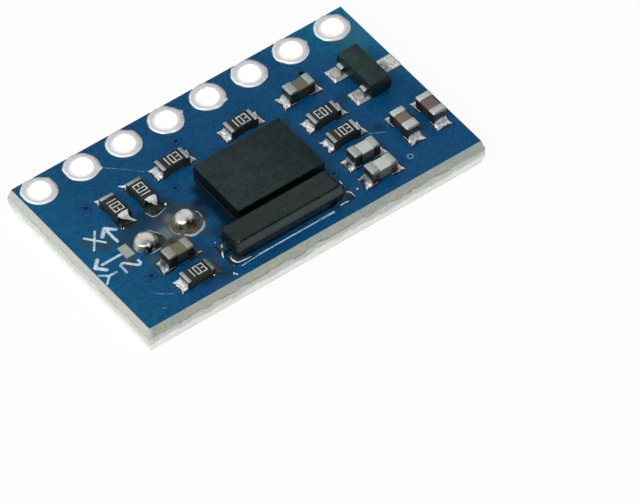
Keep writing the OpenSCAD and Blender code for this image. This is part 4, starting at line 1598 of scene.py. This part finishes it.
# Where the flux boiled in front of the second dome
streak("flux_ring_1", arc((-4.55, -1.25), 0.66, 165, 330, 0.05), 0.07, 0.05, "brown_flux")
streak("flux_ring_2", arc((-4.58, -1.28), 0.77, 150, 300, 0.03), 0.06, 0.04, "brown_flux")
streak("flux_ring_3", arc((-4.62, -1.25), 0.9, 140, 235, 0.02), 0.07, 0.03, "brown_flux")
print("drew", len(glint_streaks), "streaks and 3 rings")

# %% [markdown]
# ## Printed marks and pale traces
#
# The white marks are printed ink: two arrows with the letters of the board's axes, and one line
# in front of the crystal. A font would be too regular, so each stroke is a flat bar with rounded
# ends: a disc whose right half is moved out and which is then extruded. Where bars cross, each is
# a hair higher than the last, so that their tops don't flicker. The clearest traces under the mask
# are drawn in the same way, but thinner, in a paler lacquer that is a painted highlight.

# %% Bars of ink
STEP_UP = 0.0008


def draw(name, paths, width, height, z, lift):
    """Bars along each path, with rounded ends, joined into one mesh."""
    bars = []
    for path in paths:
        raised = height + lift * len(bars)
        for step, (start, end) in enumerate(zip(path, path[1:])):
            a, b = Vector((*start, 0)), Vector((*end, 0))
            bar = begin(name + "_bar", bpy.ops.mesh.primitive_circle_add, vertices=16,
                        radius=width / 2, fill_type="NGON")
            choose("VERT", lambda place: place.x > 1e-4)
            bpy.ops.transform.translate(value=((b - a).length, 0, 0))
            bpy.ops.mesh.select_all(action="SELECT")
            extrude((0, 0, raised + STEP_UP * step))
            face_outwards()
            solo(bar)
            angle = math.atan2((b - a).y, (b - a).x)
            bar.data.transform(Matrix.Translation((a.x, a.y, z)) @ Matrix.Rotation(angle, 4, "Z"))
            bars.append(bar)
    solo(bars[0])
    if len(bars) > 1:
        for bar in bars[1:]:
            bar.select_set(True)
        bpy.ops.object.join()
    joined = bpy.context.object
    joined.name = name
    joined.data.name = name
    return joined


print("strokes ready")

# %% Marks and pale traces
INK_HEIGHT = 0.012
TRACE_RIDGE_HEIGHT = 0.004
# Width of the line and its strokes
ink_marks = {
    "ink_letter_x": (0.12, [[(-9.1, 0.93), (-8.42, 0.08)], [(-8.42, 0.98), (-9.16, 0.0)]]),
    "ink_arrow_up": (0.16, [[(-7.92, -0.22), (-7.94, 0.86)]]),
    "ink_arrow_up_head": (0.2, [[(-8.33, 0.47), (-7.94, 0.85), (-7.55, 0.47)]]),
    "ink_arrow_left": (0.14, [[(-9.4, -1.02), (-8.28, -1.02)]]),
    "ink_arrow_left_head": (0.2, [[(-9.42, -0.62), (-9.8, -1.0), (-9.42, -1.42)]]),
    "ink_letter_y": (0.12, [[(-9.93, -1.5), (-9.55, -1.82), (-9.93, -2.18)],
                            [(-9.55, -1.82), (-9.12, -1.82)]]),
    "ink_letter_z": (0.14, [[(-8.74, -2.14), (-8.74, -1.62), (-8.6, -1.53), (-8.48, -1.58),
                             (-8.08, -2.05), (-7.95, -2.12), (-7.85, -2.05), (-7.85, -1.85)]]),
    "ink_line": (0.07, [[(-3.0, -5.15), (0.7, -5.15)]]),
    "ink_line_end": (0.12, [[(0.7, -5.15), (1.5, -5.15)]]),
    "ink_line_start": (0.035, [[(-4.1, -5.24), (-3.0, -5.16)]]),
}
# Traces under the mask, as low ridges whose pale lacquer is a painted highlight: width and strokes
trace_glints = {
    "scratch_1": (0.04, [[(-5.67, 4.19), (-4.95, 3.5), (-4.2, 2.72)]]),
    "scratch_2": (0.05, [[(-8.54, -4.0), (-8.2, -4.35), (-7.77, -4.67)]]),
    "scratch_3": (0.05, [[(-9.0, -4.95), (-8.6, -5.2)]]),
    "scratch_4": (0.04, [[(5.95, -2.0), (6.3, -2.25), (6.69, -2.42)]]),
}
for marks, height, finish in ((ink_marks, INK_HEIGHT, "printed_ink"),
                              (trace_glints, TRACE_RIDGE_HEIGHT, "scratch_mask")):
    for name, (width, paths) in marks.items():
        settle(draw(name, paths, width, height, mask_top, STEP_UP), finish)
print("printed", len(ink_marks), "marks and made", len(trace_glints), "trace_glints")

# %% [markdown]
# ## Value codes on the resistors
#
# Each resistor has the plain number of its value on its glass coat, in thin white strokes. One set
# of strokes is drawn, and copied to each resistor with the turn that it was soldered at.

# %% The number 103, drawn once and copied
DIGIT_WIDTH = 0.21
DIGIT_HEIGHT = 0.52
DIGIT_STEP = 0.31
DIGIT_LINE = 0.056
CODE_HEIGHT = 0.004
digit_paths = {
    "1": [[(0.5, 0), (0.5, 1)]],
    "0": [[(0, 0), (1, 0), (1, 1), (0, 1), (0, 0)]],
    "3": [[(0, 0), (1, 0), (1, 1), (0, 1)], [(0.15, 0.5), (1, 0.5)]],
}
resistor_turns = [-90, 90, 0, 0, 180, 0, 0]


def number_paths(text):
    """The strokes of a number whose middle lies at the origin."""
    paths = []
    for place, digit in enumerate(text):
        left = (place - (len(text) - 1) / 2) * DIGIT_STEP - DIGIT_WIDTH / 2
        for path in digit_paths[digit]:
            paths.append([(left + x * DIGIT_WIDTH, (y - 0.5) * DIGIT_HEIGHT) for x, y in path])
    return paths


number_pattern = draw("number_pattern", number_paths("103"), DIGIT_LINE, CODE_HEIGHT, 0, STEP_UP / 2)
for node, angle in zip(resistors, resistor_turns):
    low, high = box_mm(node)
    mark = copy_of(number_pattern, node + "_code")
    settle(mark, "code_ink", turned((low + high) / 2, angle, high.z - 0.001))
bpy.data.objects.remove(number_pattern)
print("marked", len(resistor_turns), "resistors")
